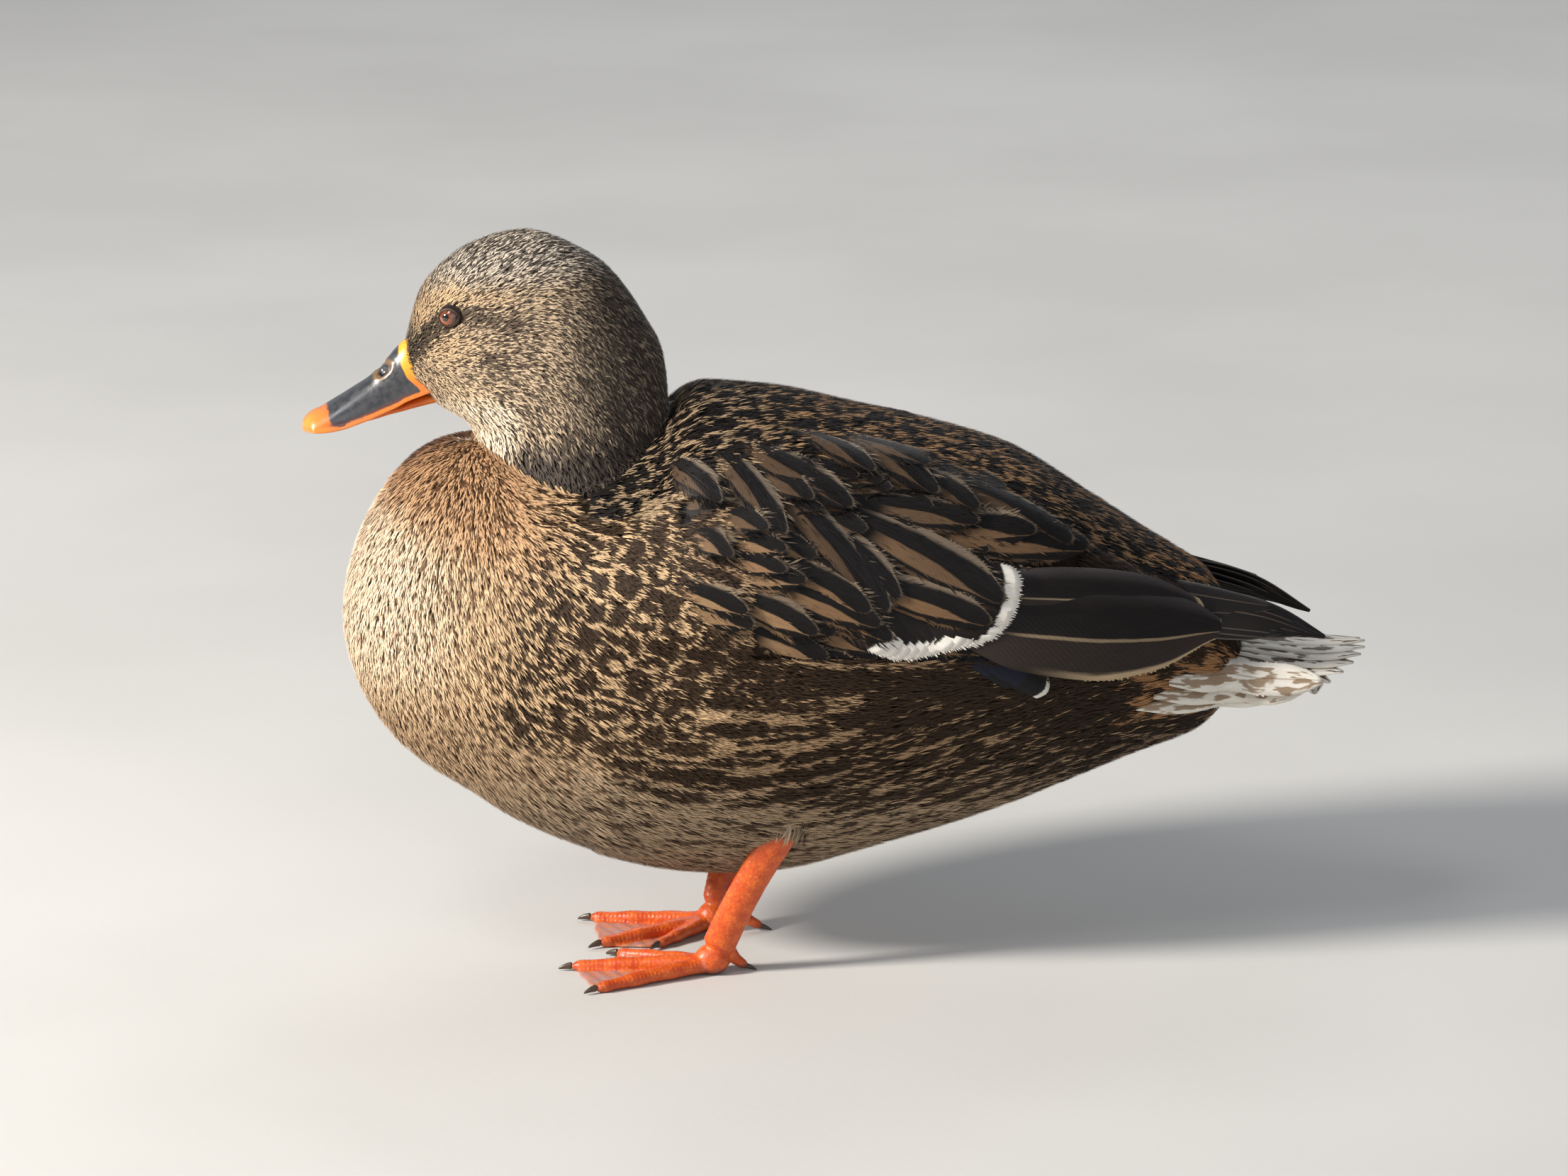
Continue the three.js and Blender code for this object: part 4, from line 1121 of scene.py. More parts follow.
def side_tone(p, fu, d, at, seed, gen, soft=1.0):
    """Colour of a fine tuft lying fu across and d millimetres before the end of the feather that shows at `at`."""
    pale, dark, k = side_colours(at)
    n = len(p)
    a = np.sin(seed * 40.0) * 0.5 + 0.5                       # each feather's own chances
    b = np.sin(seed * 91.0 + 2.0) * 0.5 + 0.5
    u = fu + gen.normal(0, 0.045 * soft, n) + 0.12 * np.sin(d * 0.55 + seed * 30)
    d = d + gen.normal(0, 0.25 * soft, n)
    # breast: one soft spot near the tip
    spot = 1 - smooth(0.5, 1.1, np.sqrt((u / 0.46) ** 2 + ((d - 2.3 - b) / 1.9) ** 2))
    # shoulder: a dark bow round a cream middle, or a blot
    more = 0.11 * smooth(-44, -12, at[:, 0])
    blot = smooth(1.0 - 2 * more, 2.0 - 2 * more, d) * (1 - smooth(0.72 + more, 0.88 + more, np.abs(u)))
    eye = 1 - smooth(0.7, 1.15, np.sqrt((u / 0.40) ** 2 + ((d - 5.2 - 1.5 * b) / 2.5) ** 2))
    mark = blot * (1 - eye * (a < 0.58))
    # flank: a dark stripe with buff sides, now and then a buff shaft
    stripe = (1 - smooth(0.52 + 0.16 * a, 0.74 + 0.14 * a, np.abs(u))) * smooth(0.4, 2.0, d)
    stripe = stripe - 0.9 * (b > 0.66) * (1 - smooth(0.10, 0.26, np.abs(u))) * smooth(4.0, 6.0, d)
    # darker towards the wing above and towards the rear: partly the flank's own dark feathers, partly painted shade
    stripe = stripe + 0.22 + 0.26 * smooth(104, 128, at[:, 2]) + 0.25 * k["rear"]
    faint = 0.55 * (1 - smooth(0.15, 0.5, np.abs(u))) * (a > 0.4)
    fine = 0.46 + 0 * u
    breast = 1 - np.clip(k["should"] + k["flank"], 0, 1)
    belly = k["belly"]
    # spots fade where sunlight is painted on the breast
    ink = k["should"] * mark * 1.05 + k["flank"] * stripe + breast * (spot * (0.84 - 0.60 * k["cream"]) + 0.05)
    ink = ink * (1 - belly) + belly * (0.17 + 1.05 * faint + 0.40 * spot + 0.25 * k["rear"] * stripe)
    # darker towards the tail and the back of the shoulder: partly their own dark feathers, partly painted shade
    ink = ink + 0.16 * k["tailside"] * k["flank"] * (1 - belly) + 0.20 * smooth(-56, -14, at[:, 0]) * k["should"]
    under = smooth(150, 168, at[:, 0]) * smooth(104, 92, at[:, 2])
    ink = ink * (1 - 0.45 * under)
    ink = ink * (1 - k["topb"]) + k["topb"] * (0.55 * fine + 0.3 * spot + 0.03)
    ink = ink * (1 - k["cov"]) + k["cov"] * (1 - smooth(0.75, 1.05, np.sqrt((u / 0.74) ** 2 + ((d - 5.0 - b) / 3.8) ** 2)))
    # a long buff edge under the folded wing, dark below it
    top = near_line(p, (32, 139.5), (88, 139.0), 2.3) * smooth(28, 40, p[:, 0])
    below = near_line(p, (26, 134.0), (104, 133.5), 2.6)
    ink = np.clip(ink + 0.9 * below * (1 - top) - 1.3 * top, 0, 1)
    steep = 1.3 + 3.4 * np.clip(k["should"] + k["flank"] + k["cov"], 0, 1)
    deep = gen.random(n) < np.clip((ink - 0.5) * steep + 0.5, 0.02, 0.985)
    m = (gen.random(n) * 0.30)[:, None]
    k1 = m * (0.08 + 0.42 * (1 - np.clip(k["should"] + k["flank"], 0, 1))[:, None])
    tone = np.where(deep[:, None], dark * (1 - k1) + pale * k1, pale * (1 - m) + dark * m)
    return tone * gen.uniform(0.84, 1.16, (n, 1))


def strands(coat, P, N, D, L, W, low, high, tone, gen):
    """Fine narrow blades of the outer coat, from height low to height high over the skin."""
    n = len(P)
    L, W = np.broadcast_to(L, (n,)), np.broadcast_to(W, (n,))
    low, high = np.broadcast_to(low, (n,)), np.broadcast_to(high, (n,)) + gen.uniform(-0.45, 0.45, n)
    B = unit(np.cross(N, D))
    side = gen.uniform(-0.12, 0.12, n)
    pts = []
    for v, c, k in [(0.0, -0.42, 0.0), (0.0, 0.42, 0.0), (0.50, -0.5, 0.66), (0.50, 0.5, 0.66), (1.0, 0.0, 1.0)]:
        q = P + D * (L * v)[:, None] + B * (W * c + L * side * v * v)[:, None]
        dist, g = field(q)
        pts.append(q - g * dist[:, None] + g * (low + (high - low) * k)[:, None])
    V = np.stack(pts, 1).reshape(-1, 3)
    o = np.arange(n)[:, None] * 5
    F = [o + np.array([[0, 1, 3, 2]]), o + np.array([[2, 3, 4]])]
    seed = gen.random(n)
    place = np.stack([np.broadcast_to(np.array([-1, 1, -1, 1, 0.0]), (n, 5)), np.broadcast_to(np.array([0, 0, .5, .5, 1.0]), (n, 5)),
                      np.broadcast_to(seed[:, None], (n, 5))], -1).reshape(-1, 3)
    owner = np.repeat(np.arange(n), 5)
    coat.add(V, F, place, owner, P, tone=tone[owner])


def by_side(tag):
    return -1 if tag == "left" else 1


def not_head(p, margin=0.0):
    return head_gap(p) > trunk_gap(p) - margin


pattern = {}
outer_mat = tuft_material("side_feathers", sheen=0.0, rough=0.62, spec=0.16)
for tag in ("left", "right"):
    s = by_side(tag)
    gen = np.random.default_rng(20 + s)
    mine = lambda p: p[:, 1] * s > -0.8
    striped = lambda p: flank_share(p) > 0.5
    zone_front = lambda p: mine(p) & not_head(p, 2) & (p[:, 0] < -58) & (p[:, 2] > 66) & ~striped(p)
    zone_side = lambda p: mine(p) & not_head(p) & (p[:, 0] >= -58) & (p[:, 0] < 14) & (p[:, 2] > 66) & (wing_share(p) < 0.5) & (above(p) < -4) & ~striped(p)
    zone_flank = lambda p: mine(p) & (p[:, 0] >= -58) & (p[:, 0] < 142) & (p[:, 2] > 60) & (wing_share(p) < 0.6) & (above(p) < -14) & striped(p)
    zone_belly = lambda p: mine(p) & (p[:, 0] < 142) & (((p[:, 2] <= 66) & (p[:, 0] < -40)) | ((p[:, 2] <= 74) & (p[:, 0] >= -40))) & ~(striped(p) & (p[:, 2] > 60))
    zone_rear = lambda p: mine(p) & (p[:, 0] >= 138) & (p[:, 0] < 203) & (above(p) < -2)
    sets = []
    for name, slot, zone, a, b, dense, space, L, W, lift in (
            ("breast_coat_", "body_plumage", zone_front, 5.4, 4.2, 5, lambda p: 0.70 + 0.36 * smooth(-124, -62, p[:, 0]) - 0.1 * smooth(170, 195, p[:, 2]), 16.5, 8.6, 2.3),
            ("shoulder_coat_", "body_plumage", zone_side, 10.0, 8.0, 6, None, 30, 13.5, 3.1),
            ("flank_coat_", "body_plumage", zone_flank, 23.0, 6.0, 6, None, 44, 9.5, 3.1),
            ("belly_coat_", "body_plumage", zone_belly, 6.4, 4.4, 5, None, 20, 8.4, 2.4),
            ("vent_coat_", "rump_plumage", zone_rear, 8.0, 6.4, 5, None, 25, 12.5, 2.7)):
        P, N, D = scatter(zone, a, b, gen, dense, space)
        n = len(P)
        k = np.ones(n) if space is None else space(P)
        Ln, Wn = L * k * gen.uniform(0.9, 1.12, n), W * k
        D = turned(D, N, gen.normal(0, 0.09, n))
        sets.append((P, flow(P, N), N, Ln, Wn, gen.random(n)))
        tips = P + D * Ln[:, None]
        clear = (head_gap(P) > 10) & (head_gap(tips) > 10)
        clear &= ~((tips[:, 0] > -64) & (tips[:, 2] > 158) & (P[:, 0] < -50))
        if a > 8.5:
            clear &= (wing_share(P) < 0) & (wing_share(tips) < 0) & (above(tips) < -16) & (above(P) < -16)
        P, N, D, Ln, Wn, n = P[clear], N[clear], D[clear], Ln[clear], Wn[clear], int(clear.sum())
        c = Coat(name + tag, slot, body_mat)
        vanes(c, P, N, D, Ln, Wn, lift=(0.4, lift - 0.5), fringe=0, camber=0.8, gen=gen, follow=0.35, turn=16.0 if a > 8.5 else 12.0,
              looks=side_looks(P, gen))
        c.build()
    T, Dt, Nt, Ln, Wn, seeds = pattern[tag] = [np.concatenate(v) for v in zip(*sets)]
    zone_fold = lambda p: mine(p) & not_head(p) & (p[:, 0] > -62) & (p[:, 0] < 14) & (p[:, 2] > 90) & (p[:, 2] <= 192) & (wing_share(p) < 0.6)
    whole = lambda p: zone_front(p) | zone_side(p) | zone_flank(p) | zone_belly(p) | zone_rear(p) | zone_fold(p)
    for name, zone, per, L, W, low, high in (
            ("breast_tufts_", lambda p: whole(p) & (p[:, 0] < -52), 1.15, 5.2, 0.66, 1.9, 3.5),
            ("shoulder_tufts_", lambda p: whole(p) & (p[:, 0] >= -52) & (p[:, 0] < 24) & (p[:, 2] > 88), 2.0, 4.9, 0.62, 2.3, 4.1),
            ("flank_tufts_", lambda p: whole(p) & (p[:, 0] >= -52) & (p[:, 0] < 60) & ~((p[:, 0] < 24) & (p[:, 2] > 88)), 1.3, 6.4, 0.72, 2.3, 4.3),
            ("rear_tufts_", lambda p: whole(p) & (p[:, 0] >= 60), 0.95, 8.0, 0.78, 2.3, 4.2)):
        _, area = face_samples(10, zone, gen)
        P, _ = face_samples(int(area * per), zone, gen)
        P = P[zone(P)]
        d0, N = field(P)
        P = P - d0[:, None] * N
        D = turned(flow(P, N), N, gen.normal(0, 0.10, len(P)))
        k = 0.72 + 0.28 * smooth(-126, -70, P[:, 0])
        mid = P + D * (L * k * gen.uniform(0.40, 0.75, len(P)))[:, None]
        own, fu, fv = owners(mid, T, Dt, Nt, Ln, Wn, gen)
        tone = side_tone(mid, fu, (1 - fv) * Ln[own], T[own] - Dt[own] * 4.0, seeds[own], gen)
        under = smooth(176, 192, P[:, 0]) * smooth(122, 112, P[:, 2])
        c = Coat(name + tag, "body_plumage", outer_mat)
        strands(c, P, N, D, L * k * gen.uniform(0.8, 1.25, len(P)), W * (0.8 + 0.2 * k), low, high, tone, gen)
        c.build(cells=False)


# ------------------------------------------------------------------ skin looks
def skin_colours():
    """The skin carries the coat's own markings, a little darker."""
    P = SV
    hd = is_head(P)
    g1 = np.random.default_rng(3)
    c = np.zeros((len(P), 3))
    c[hd] = head_tone(P[hd], g1)
    for tag in ("left", "right"):
        T, Dt, Nt, Ln, Wn, seeds = pattern[tag]
        q = np.flatnonzero(~hd & (P[:, 1] * by_side(tag) >= 0))
        own, fu, fv = owners(P[q], T, Dt, Nt, Ln, Wn, g1)
        c[q] = side_tone(P[q], fu, (1 - fv) * Ln[own], T[own], seeds[own], g1)
    c[~hd & (above(P) > -6) & (P[:, 0] > -52)] = srgb(52, 40, 30)
    return c * 0.8


set_attr(skin, "tone", skin_colours())
gs = Graph("skin_down")
down = gs.noise(None, 260.0, 3.0, 0.6)
mott = gs.noise(None, 60.0, 2.0)
gs.out(gs.mix(gs.step(mott, 0.35, 0.7) * 0.15, gs.colour("tone"), srgb(60, 46, 34)), gs.step(down, 0.3, 0.7, lo=0.7, hi=0.9),
       gs.bump(down, 0.0008, 0.8), Specular_IOR_Level=0.2)
dress(skin, gs.mat)
uvl = wrap_place(SV)
layer = skin.data.uv_layers.new(name="OFBake")
li = np.empty(len(skin.data.loops), np.int32)
skin.data.loops.foreach_get("vertex_index", li)
layer.data.foreach_set("uv", np.clip(uvl, 0.002, 0.998)[li].astype(np.float32).ravel())
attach(skin, "root")
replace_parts(skin, "trunk", "rump", "neck", "head")


# ------------------------------------------------------- back, wings and tail
for o in list(bpy.data.objects):
    if o.name in ("Cube", "Light", "Camera"):
        bpy.data.objects.remove(o)


def side_point(x, z, s, out=0.0):
    """The skin's point at side-view place x, z on side s."""
    x, z = np.atleast_1d(np.asarray(x, float)), np.atleast_1d(np.asarray(z, float))
    ys = np.linspace(88, 0, 177)
    p = np.stack([np.broadcast_to(x[:, None], (len(x), 177)), np.broadcast_to(ys[None], (len(x), 177)),
                  np.broadcast_to(z[:, None], (len(x), 177))], -1)
    d = field(p)[0] - out
    hit = np.argmax(d <= 0, axis=1)
    none = ~(d <= 0).any(axis=1)
    hit = np.where(none, np.argmin(d, axis=1), np.maximum(hit, 1))
    a = d[np.arange(len(x)), hit - 1]
    b = d[np.arange(len(x)), hit]
    t = np.where(none, 1.0, a / np.maximum(a - b, 1e-6))
    y = ys[hit - 1] + (ys[hit] - ys[hit - 1]) * t
    return np.stack([x, s * y, z], -1)


def laid(coat, ends, s, W, gen, looks, turn_noise=0.03, **kw):
    """Feathers given by the side-view places of root and tip."""
    R = np.array(ends, float)
    P = side_point(R[:, 0], R[:, 1], s)
    T = side_point(R[:, 2], R[:, 3], s)
    P, N = on_skin(P)
    T, _ = on_skin(T)
    way = T - P
    L = np.linalg.norm(way, axis=1) * 1.03
    D = unit(way - (way * N).sum(1, keepdims=True) * N)
    D = turned(D, N, gen.normal(0, turn_noise, len(P)))
    return vanes(coat, P, N, D, L, W, gen=gen, looks=looks, **kw)


leopard = plumage("back_feathers", hairy=1.3)


def scapular_material(name):
    """Near-black shoulder feather: smoky edge on its upper side, ochre wedge on the lower, and a painted grey sheen
    over the upper half.
    """
    g = Graph(name)
    fu, fv, seed = g.parts("place")
    _, wedge, smoke = g.parts("marks_b")
    web, grey, _ = g.parts("marks_c")
    dark, pale = g.colour("dark"), g.colour("pale")
    hair = g.number("hair")
    k = seed * 47.0
    wide = g.noise(g.vec(fu * 1.2 + k, fv * 3.0, k), 1.5, 2.0) - 0.5
    fine = g.noise(g.vec(fu * 9.0, fv * 3.0 - fu.abs() * 1.2 + k, k), 2.8, 3.0, 0.6) + hair * 0.10
    f0 = fine - 0.5
    w = fu * web + wide * 0.16
    v = fv + hair * 0.01
    upper = g.step(w + f0 * 0.22, -0.56, -0.80) * g.step(v, 0.05, 0.30)
    tip = ((v - 0.42) / 0.58).max(0)
    rim = ((w.abs() ** 3.0) + (tip ** 4.2)) ** 0.3 + f0 * 0.07
    end = g.step(rim, 0.955, 0.99) * g.step(w, 0.5, -0.2)
    half = g.step(v, 0.55, 0.93, lo=0.30, hi=0.02)
    bar = g.step((w - 0.40).abs() + f0 * 0.12 - half, 0.03, -0.05) * g.step(v, 0.18, 0.34)
    low = g.step(w + f0 * 0.16, 0.82, 0.90) * g.step(v, 0.98, 0.88)
    # painted sheen: a little grey over the dark ground on the feather's upper half
    col = g.mix(g.step(w, 0.35, -0.55) * grey * g.step(fine, 0.30, 0.75), dark, (0.017, 0.016, 0.017))
    ochre = g.mix(g.step(wide, -0.25, 0.3), pale, g.mix(0.45, pale, (0.19, 0.11, 0.055)))
    col = g.mix(bar * wedge, col, ochre)
    col = g.mix(low * wedge * 0.55, col, ochre)
    col = g.mix(upper.max(end * 0.35) * smoke, col, g.mix(0.55, pale, (0.30, 0.25, 0.19)))
    shade = g.step(fine, 0.2, 0.85, lo=0.80, hi=1.18) * (hair * 0.12 + 1.0)
    col = g.mix(1.0, col, g.vec(shade, shade, shade), "MULTIPLY")
    ridge = (fv * 170.0 - fu.abs() * 50.0).sin() * 0.25 + fine
    n = g.bump(ridge + g.step(fu.abs(), 0.07, 0.02) * 1.0, 0.00014, 0.45)
    g.out(col, g.step(fine, 0.2, 0.8, lo=0.46, hi=0.62), n, Specular_IOR_Level=0.17, Sheen_Weight=0.0,
          Sheen_Roughness=0.5, Sheen_Tint=(0.9, 0.9, 0.95))
    return g.mat


scap_mat = scapular_material("scapular_feathers")
SCAP = [
    # long shoulder feathers and coverts: root x, z, tip x, z, width
    (44, 195.5, 102.2, 157.6, 19), (28, 198, 65.1, 164.8, 16), (12, 212, 58.7, 158.3, 17), (-5, 221, 48, 195.6, 16),
    (-8, 219, 24.8, 188.5, 14), (24, 222, 56.7, 205.8, 13), (37, 222, 80.3, 196.9, 17),
    (62, 211, 96.6, 191.1, 15), (68, 210, 132.5, 175.7, 18), (40, 220, 78.9, 206.4, 14),
    (50, 199, 96.5, 189.1, 15), (66, 190, 118.4, 180.4, 16), (66, 188, 139.0, 171.5, 18), (-6, 190, 22.2, 183.3, 12),
    (-6, 184, 22, 176.3, 12), (-8, 178, 29, 172.2, 13), (16, 181, 53.1, 159.7, 17), (13, 174, 57.5, 156.2, 15),
    (46, 173, 99.0, 153.6, 15), (-21, 212, 0.6, 199.1, 13),  (12, 212, 33.1, 200, 14), (-16, 193, 2.2, 181.7, 13), (-8, 200, 16.1, 191.3, 13),
    (20, 171, 62, 150.5, 14), (0, 169, 33.2, 153.1, 14), (-29, 169, 9.2, 157.2, 14), (-31, 175, 7.1, 162.4, 13)]


def top_looks(p, gen):
    """Leopard marks of the lower back and rump, darker and barred near the neck."""
    n = len(p)
    x = p[:, 0]
    fore = smooth(60, 10, x)
    tail = smooth(170, 200, x)
    pale = blended(np.stack([np.full(n, 1.0), 2.0 * tail, 1.0 * fore], 1), srgb(128, 98, 68), srgb(164, 120, 76), srgb(104, 84, 62))
    dark = np.broadcast_to(srgb(20, 15, 13), (n, 3))
    return looks(n, dark, pale, base=1.0 + gen.uniform(-0.12, 0.10, n) - 0.10 * tail, edge=0.78 - 0.1 * fore,
                 centre=0.9 * (gen.random(n) < 0.12), bar=0.8 * (gen.random(n) < 0.18), shaft=0.1, spot=0.3 * tail,
                 web=np.where(gen.random(n) < 0.5, 1.0, -1.0), wide=0.2 + 0.6 * tail, gen=gen)


def back_tone(p, fu, d, at, seed, gen):
    """Colour of a fine tuft of the back: black blots in an uneven buff net, streaked near the neck."""
    n = len(p)
    x = at[:, 0]
    fore, tail = smooth(40, -10, x), smooth(165, 195, x)
    a, b = np.sin(seed * 40.0) * 0.5 + 0.5, np.sin(seed * 91.0 + 2.0) * 0.5 + 0.5
    u = fu + gen.normal(0, 0.07, n) + 0.12 * np.sin(d * 0.6 + seed * 30)
    d = d + gen.normal(0, 0.3, n)
    ink = smooth(0.5 + 0.4 * a, 1.7 + 0.5 * a, d) * (1 - smooth(0.68 + 0.1 * b, 0.92, np.abs(u)))
    ink = ink - 0.9 * (b > 0.72) * (1 - smooth(0.12, 0.3, np.abs(u))) * smooth(3.5, 5.0, d) + 0.10 * fore
    pale = blended(np.stack([np.full(n, 1.0), 2.4 * tail, 1.6 * fore], 1), srgb(150, 116, 82), srgb(184, 134, 84), srgb(168, 148, 120))
    dark = np.broadcast_to(srgb(20, 15, 13), (n, 3))
    deep = gen.random(n) < np.clip((ink - 0.5) * 2.4 + 0.5, 0.02, 0.98)
    m = (gen.random(n) * 0.3)[:, None]
    tone = np.where(deep[:, None], dark, pale * (1 - m) + dark * m)
    return tone * gen.uniform(0.82, 1.18, (n, 1))


def wing_looks(p, s, gen, n=None):
    n = len(p)
    x, z = p[:, 0], p[:, 2]
    high = smooth(185, 210, z)
    fore = smooth(20, -20, x)
    pale = blended(np.stack([np.full(n, 1.0), 1.4 * high, 1.6 * fore * (1 - high)], 1), srgb(118, 89, 62), srgb(86, 71, 59), srgb(176, 142, 106))
    # painted sheen on the shoulder feathers, stronger on the higher ones that face up
    return looks(n, srgb(16, 12, 10), pale, bar=gen.uniform(0.75, 1.0, n) * (1 - 0.45 * high), centre=gen.uniform(0.55, 0.95, n), web=float(s),
                 grey=0.35 + 0.55 * high, gen=gen, vary=0.08)


for tag in ("left", "right"):
    s = by_side(tag)
    gen = np.random.default_rng(50 + s)
    mine = lambda p: p[:, 1] * s > -0.6
    # lower back, rump and tail coverts
    zone_back = lambda p: mine(p) & not_head(p, -2) & (p[:, 0] > -52) & (p[:, 2] > 112) & (above(p) > -6) & ((p[:, 0] > 12) | (p[:, 2] > 190))
    c = Coat("back_coat_" + tag, "rump_plumage", leopard)
    P, N, D = scatter(zone_back, 8.6, 6.8, gen, 5)
    n = len(P)
    far = smooth(170, 200, P[:, 0])
    L, Wd = (24 + 4 * far) * gen.uniform(0.9, 1.12, n), 11.5 + far
    D = turned(D, N, gen.normal(0, 0.12, n))
    lk = top_looks(P, gen)
    # the vanes under the tufts take the pale colour darkened by half: painted shade in the gaps between the tufts
    lk["pale"] = lk["pale"] * 0.5
    vanes(c, P, N, D, L, Wd, lift=(0.5, 2.4), fringe=0, camber=0.8, gen=gen, follow=0.3, turn=12.0, looks=lk)
    c.build()
    T, Dt, Nt = P, flow(P, N), N
    seeds = gen.random(n)
    _, area = face_samples(10, zone_back, gen)
    P, _ = face_samples(int(area * 1.25), zone_back, gen)
    P = P[zone_back(P)]
    d0, N = field(P)
    P = P - d0[:, None] * N
    D = turned(flow(P, N), N, gen.normal(0, 0.12, len(P)))
    mid = P + D * (5.6 * gen.uniform(0.4, 0.75, len(P)))[:, None]
    own, fu, fv = owners(mid, T, Dt, Nt, L, Wd, gen)
    c = Coat("back_tufts_" + tag, "rump_plumage", outer_mat)
    strands(c, P, N, D, 5.6 * gen.uniform(0.8, 1.25, len(P)), 0.68, 2.0, 3.7, back_tone(mid, fu, (1 - fv) * L[own], T[own], seeds[own], gen), gen)
    c.build(cells=False)
    # shoulder feathers that hide the folded wing
    zone_wing = lambda p: mine(p) & not_head(p) & (wing_share(p) > 0.15) & (p[:, 0] < 96) & (p[:, 2] > 146)
    c = Coat("scapular_coat_" + tag, "wing_plumage", scap_mat)
    P, N, D = scatter(zone_wing, 11.0, 8.0, gen, 5)
    n = len(P)
    vanes(c, P, N, turned(D, N, gen.normal(0, 0.08, n)), 34 * gen.uniform(0.9, 1.1, n), 15, lift=(1.0, 4.2), fringe=34,
          hair=0.9, camber=1.4, nu=7, gen=gen, follow=0.3, bend=gen.normal(0, 0.1, n), barbs=70, barb=(4.6, 0.55), from_v=0.25, looks=wing_looks(P, s, gen))
    rows = np.array(SCAP, float)
    if s > 0:
        rows[:, :4] += gen.normal(0, 2.0, (len(rows), 4))
    order = np.argsort(rows[:, 0] * 0.6 - rows[:, 1])
    P0 = side_point(rows[:, 0], rows[:, 1], s)
    laid(c, rows[:, :4], s, rows[:, 4], gen, wing_looks(P0, s, gen), lift=(2.6, 6.3 + 2.6 * ((rows[:, 2] > 90) & (rows[:, 3] < 165))), fringe=70, hair=1.3, camber=1.9, nu=9,
         barbs=110, barb=(5.0, 0.5), from_v=0.15, rows=np.array([0, .14, .28, .42, .55, .67, .78, .87, .94, .98, 1.0]))
    c.build()


def smooth_line(pts, count):
    """A smooth line through control points, as count points evenly along it."""
    pts = np.array(pts, float)
    t = np.concatenate([[0], np.cumsum(np.linalg.norm(np.diff(pts, axis=0), axis=1))])
    f = curve(np.column_stack([t, pts]))
    return f(np.linspace(0, t[-1], count))


def blade(coat, line, face, outline, gen, look, *, nv=26, nu=9, thick=0.45, camber=1.2, tip=0.5, droop=0.0, fringe=0,
          hair=1.2, shaft=True, lean=None):
    """A stiff feather: closed vane of real thickness along a line, with its raised shaft.
    outline(u) gives the half widths on the two sides; face is the way the upper side looks."""
    S = smooth_line(line, nv)
    u = np.linspace(0, 1, nv)
    D = unit(np.gradient(S, axis=0))
    N = np.broadcast_to(np.asarray(face, float), S.shape)
    N = unit(N - (N * D).sum(1, keepdims=True) * D)
    B = unit(np.cross(N, D))
    lo, hi = outline(u)
    c = np.linspace(-1, 1, nu)
    width = np.where(c[None] < 0, lo[:, None], hi[:, None])
    off = width * c[None]
    back = tip * width * (u[:, None] ** 3) * (1 - np.cos(c * np.pi / 2))[None]
    Q = S[:, None] + B[:, None] * off[..., None] - D[:, None] * back[..., None]
    ridge = 0.35 * np.exp(-(c / 0.10) ** 2) if shaft else 0 * c
    Q = Q - N[:, None] * (camber * c ** 2 * np.minimum(1, width.max(1, keepdims=True) / max(width.max(), 1e-6)))[..., None]
    up = Q + N[:, None] * (thick / 2 + ridge[None] * (1 - 0.6 * u[:, None]))[..., None]
    dn = Q - N[:, None] * (thick / 2)
    V = np.concatenate([up.reshape(-1, 3), dn.reshape(-1, 3)])
    m = nv * nu
    q = grid_faces(nv, nu)
    edge = [j for j in range(nu)] + [k * nu + nu - 1 for k in range(1, nv)] + [(nv - 1) * nu + j for j in range(nu - 2, -1, -1)] + [k * nu for k in range(nv - 2, 0, -1)]
    e = np.array(edge)
    e2 = np.roll(e, -1)
    wall = np.stack([e, e2, e2 + m, e + m], -1)
    faces = [q[:, ::-1], q + m, wall]
    seed = gen.random()
    pl = np.stack([np.broadcast_to(c[None], (nv, nu)), np.broadcast_to(u[:, None], (nv, nu)), np.full((nv, nu), seed)], -1).reshape(-1, 3)
    place = np.concatenate([pl, pl])
    if fringe:
        k0 = int(nv * 0.45)
        ring = np.array([k * nu for k in range(k0, nv)] + [(nv - 1) * nu + j for j in range(1, nu)] + [k * nu + nu - 1 for k in range(nv - 2, k0 - 1, -1)])
        pts = Q.reshape(-1, 3)[ring]
        cum = np.concatenate([[0], np.cumsum(np.linalg.norm(np.diff(pts, axis=0), axis=1))])
        tp = (np.arange(fringe) + gen.uniform(0.1, 0.9, fringe)) / fringe * cum[-1]
        pb = np.stack([np.interp(tp, cum, pts[:, i]) for i in range(3)], -1)
        lp = np.stack([np.interp(tp, cum, pl[ring][:, i]) for i in range(3)], -1)
        i = np.clip(np.searchsorted(cum, tp) - 1, 0, len(ring) - 2)
        tng = unit(pts[i + 1] - pts[i])
        outw = unit(pb - S[int(nv * 0.7)])
        dirn = unit(outw * 0.5 + D[-1] * 0.7 + tng * gen.uniform(-0.2, 0.2, (fringe, 1)))
        bw = cum[-1] / fringe * gen.uniform(0.4, 0.7, (fringe, 1))
        base = pb - dirn * 0.6
        T = np.stack([base - tng * bw, base + tng * bw, pb + dirn * hair * gen.uniform(0.4, 1.2, (fringe, 1))], 1).reshape(-1, 3)
        faces.append(np.arange(fringe * 3).reshape(-1, 3)[:, ::-1] + len(V))
        V = np.concatenate([V, T])
        place = np.concatenate([place, np.repeat(lp, 3, 0)])
    n = len(V)
    owner = np.zeros(n, int)
    at = {k: np.broadcast_to(np.asarray(v, float).reshape(1, 3), (n, 3)) for k, v in look.items()}
    coat.add(V, faces, place, owner, S[:1], hair=np.zeros(n), **at)
    return Q


def leaf(*rows):
    """Half widths along a feather: rows of (u, one side, other side)."""
    f = curve([list(r) for r in rows])
    return lambda u: (f(u)[:, 0], f(u)[:, 1])


def one(dark, pale, gen, **kw):
    return looks(1, dark, pale, gen=gen, vary=0.04, **kw)


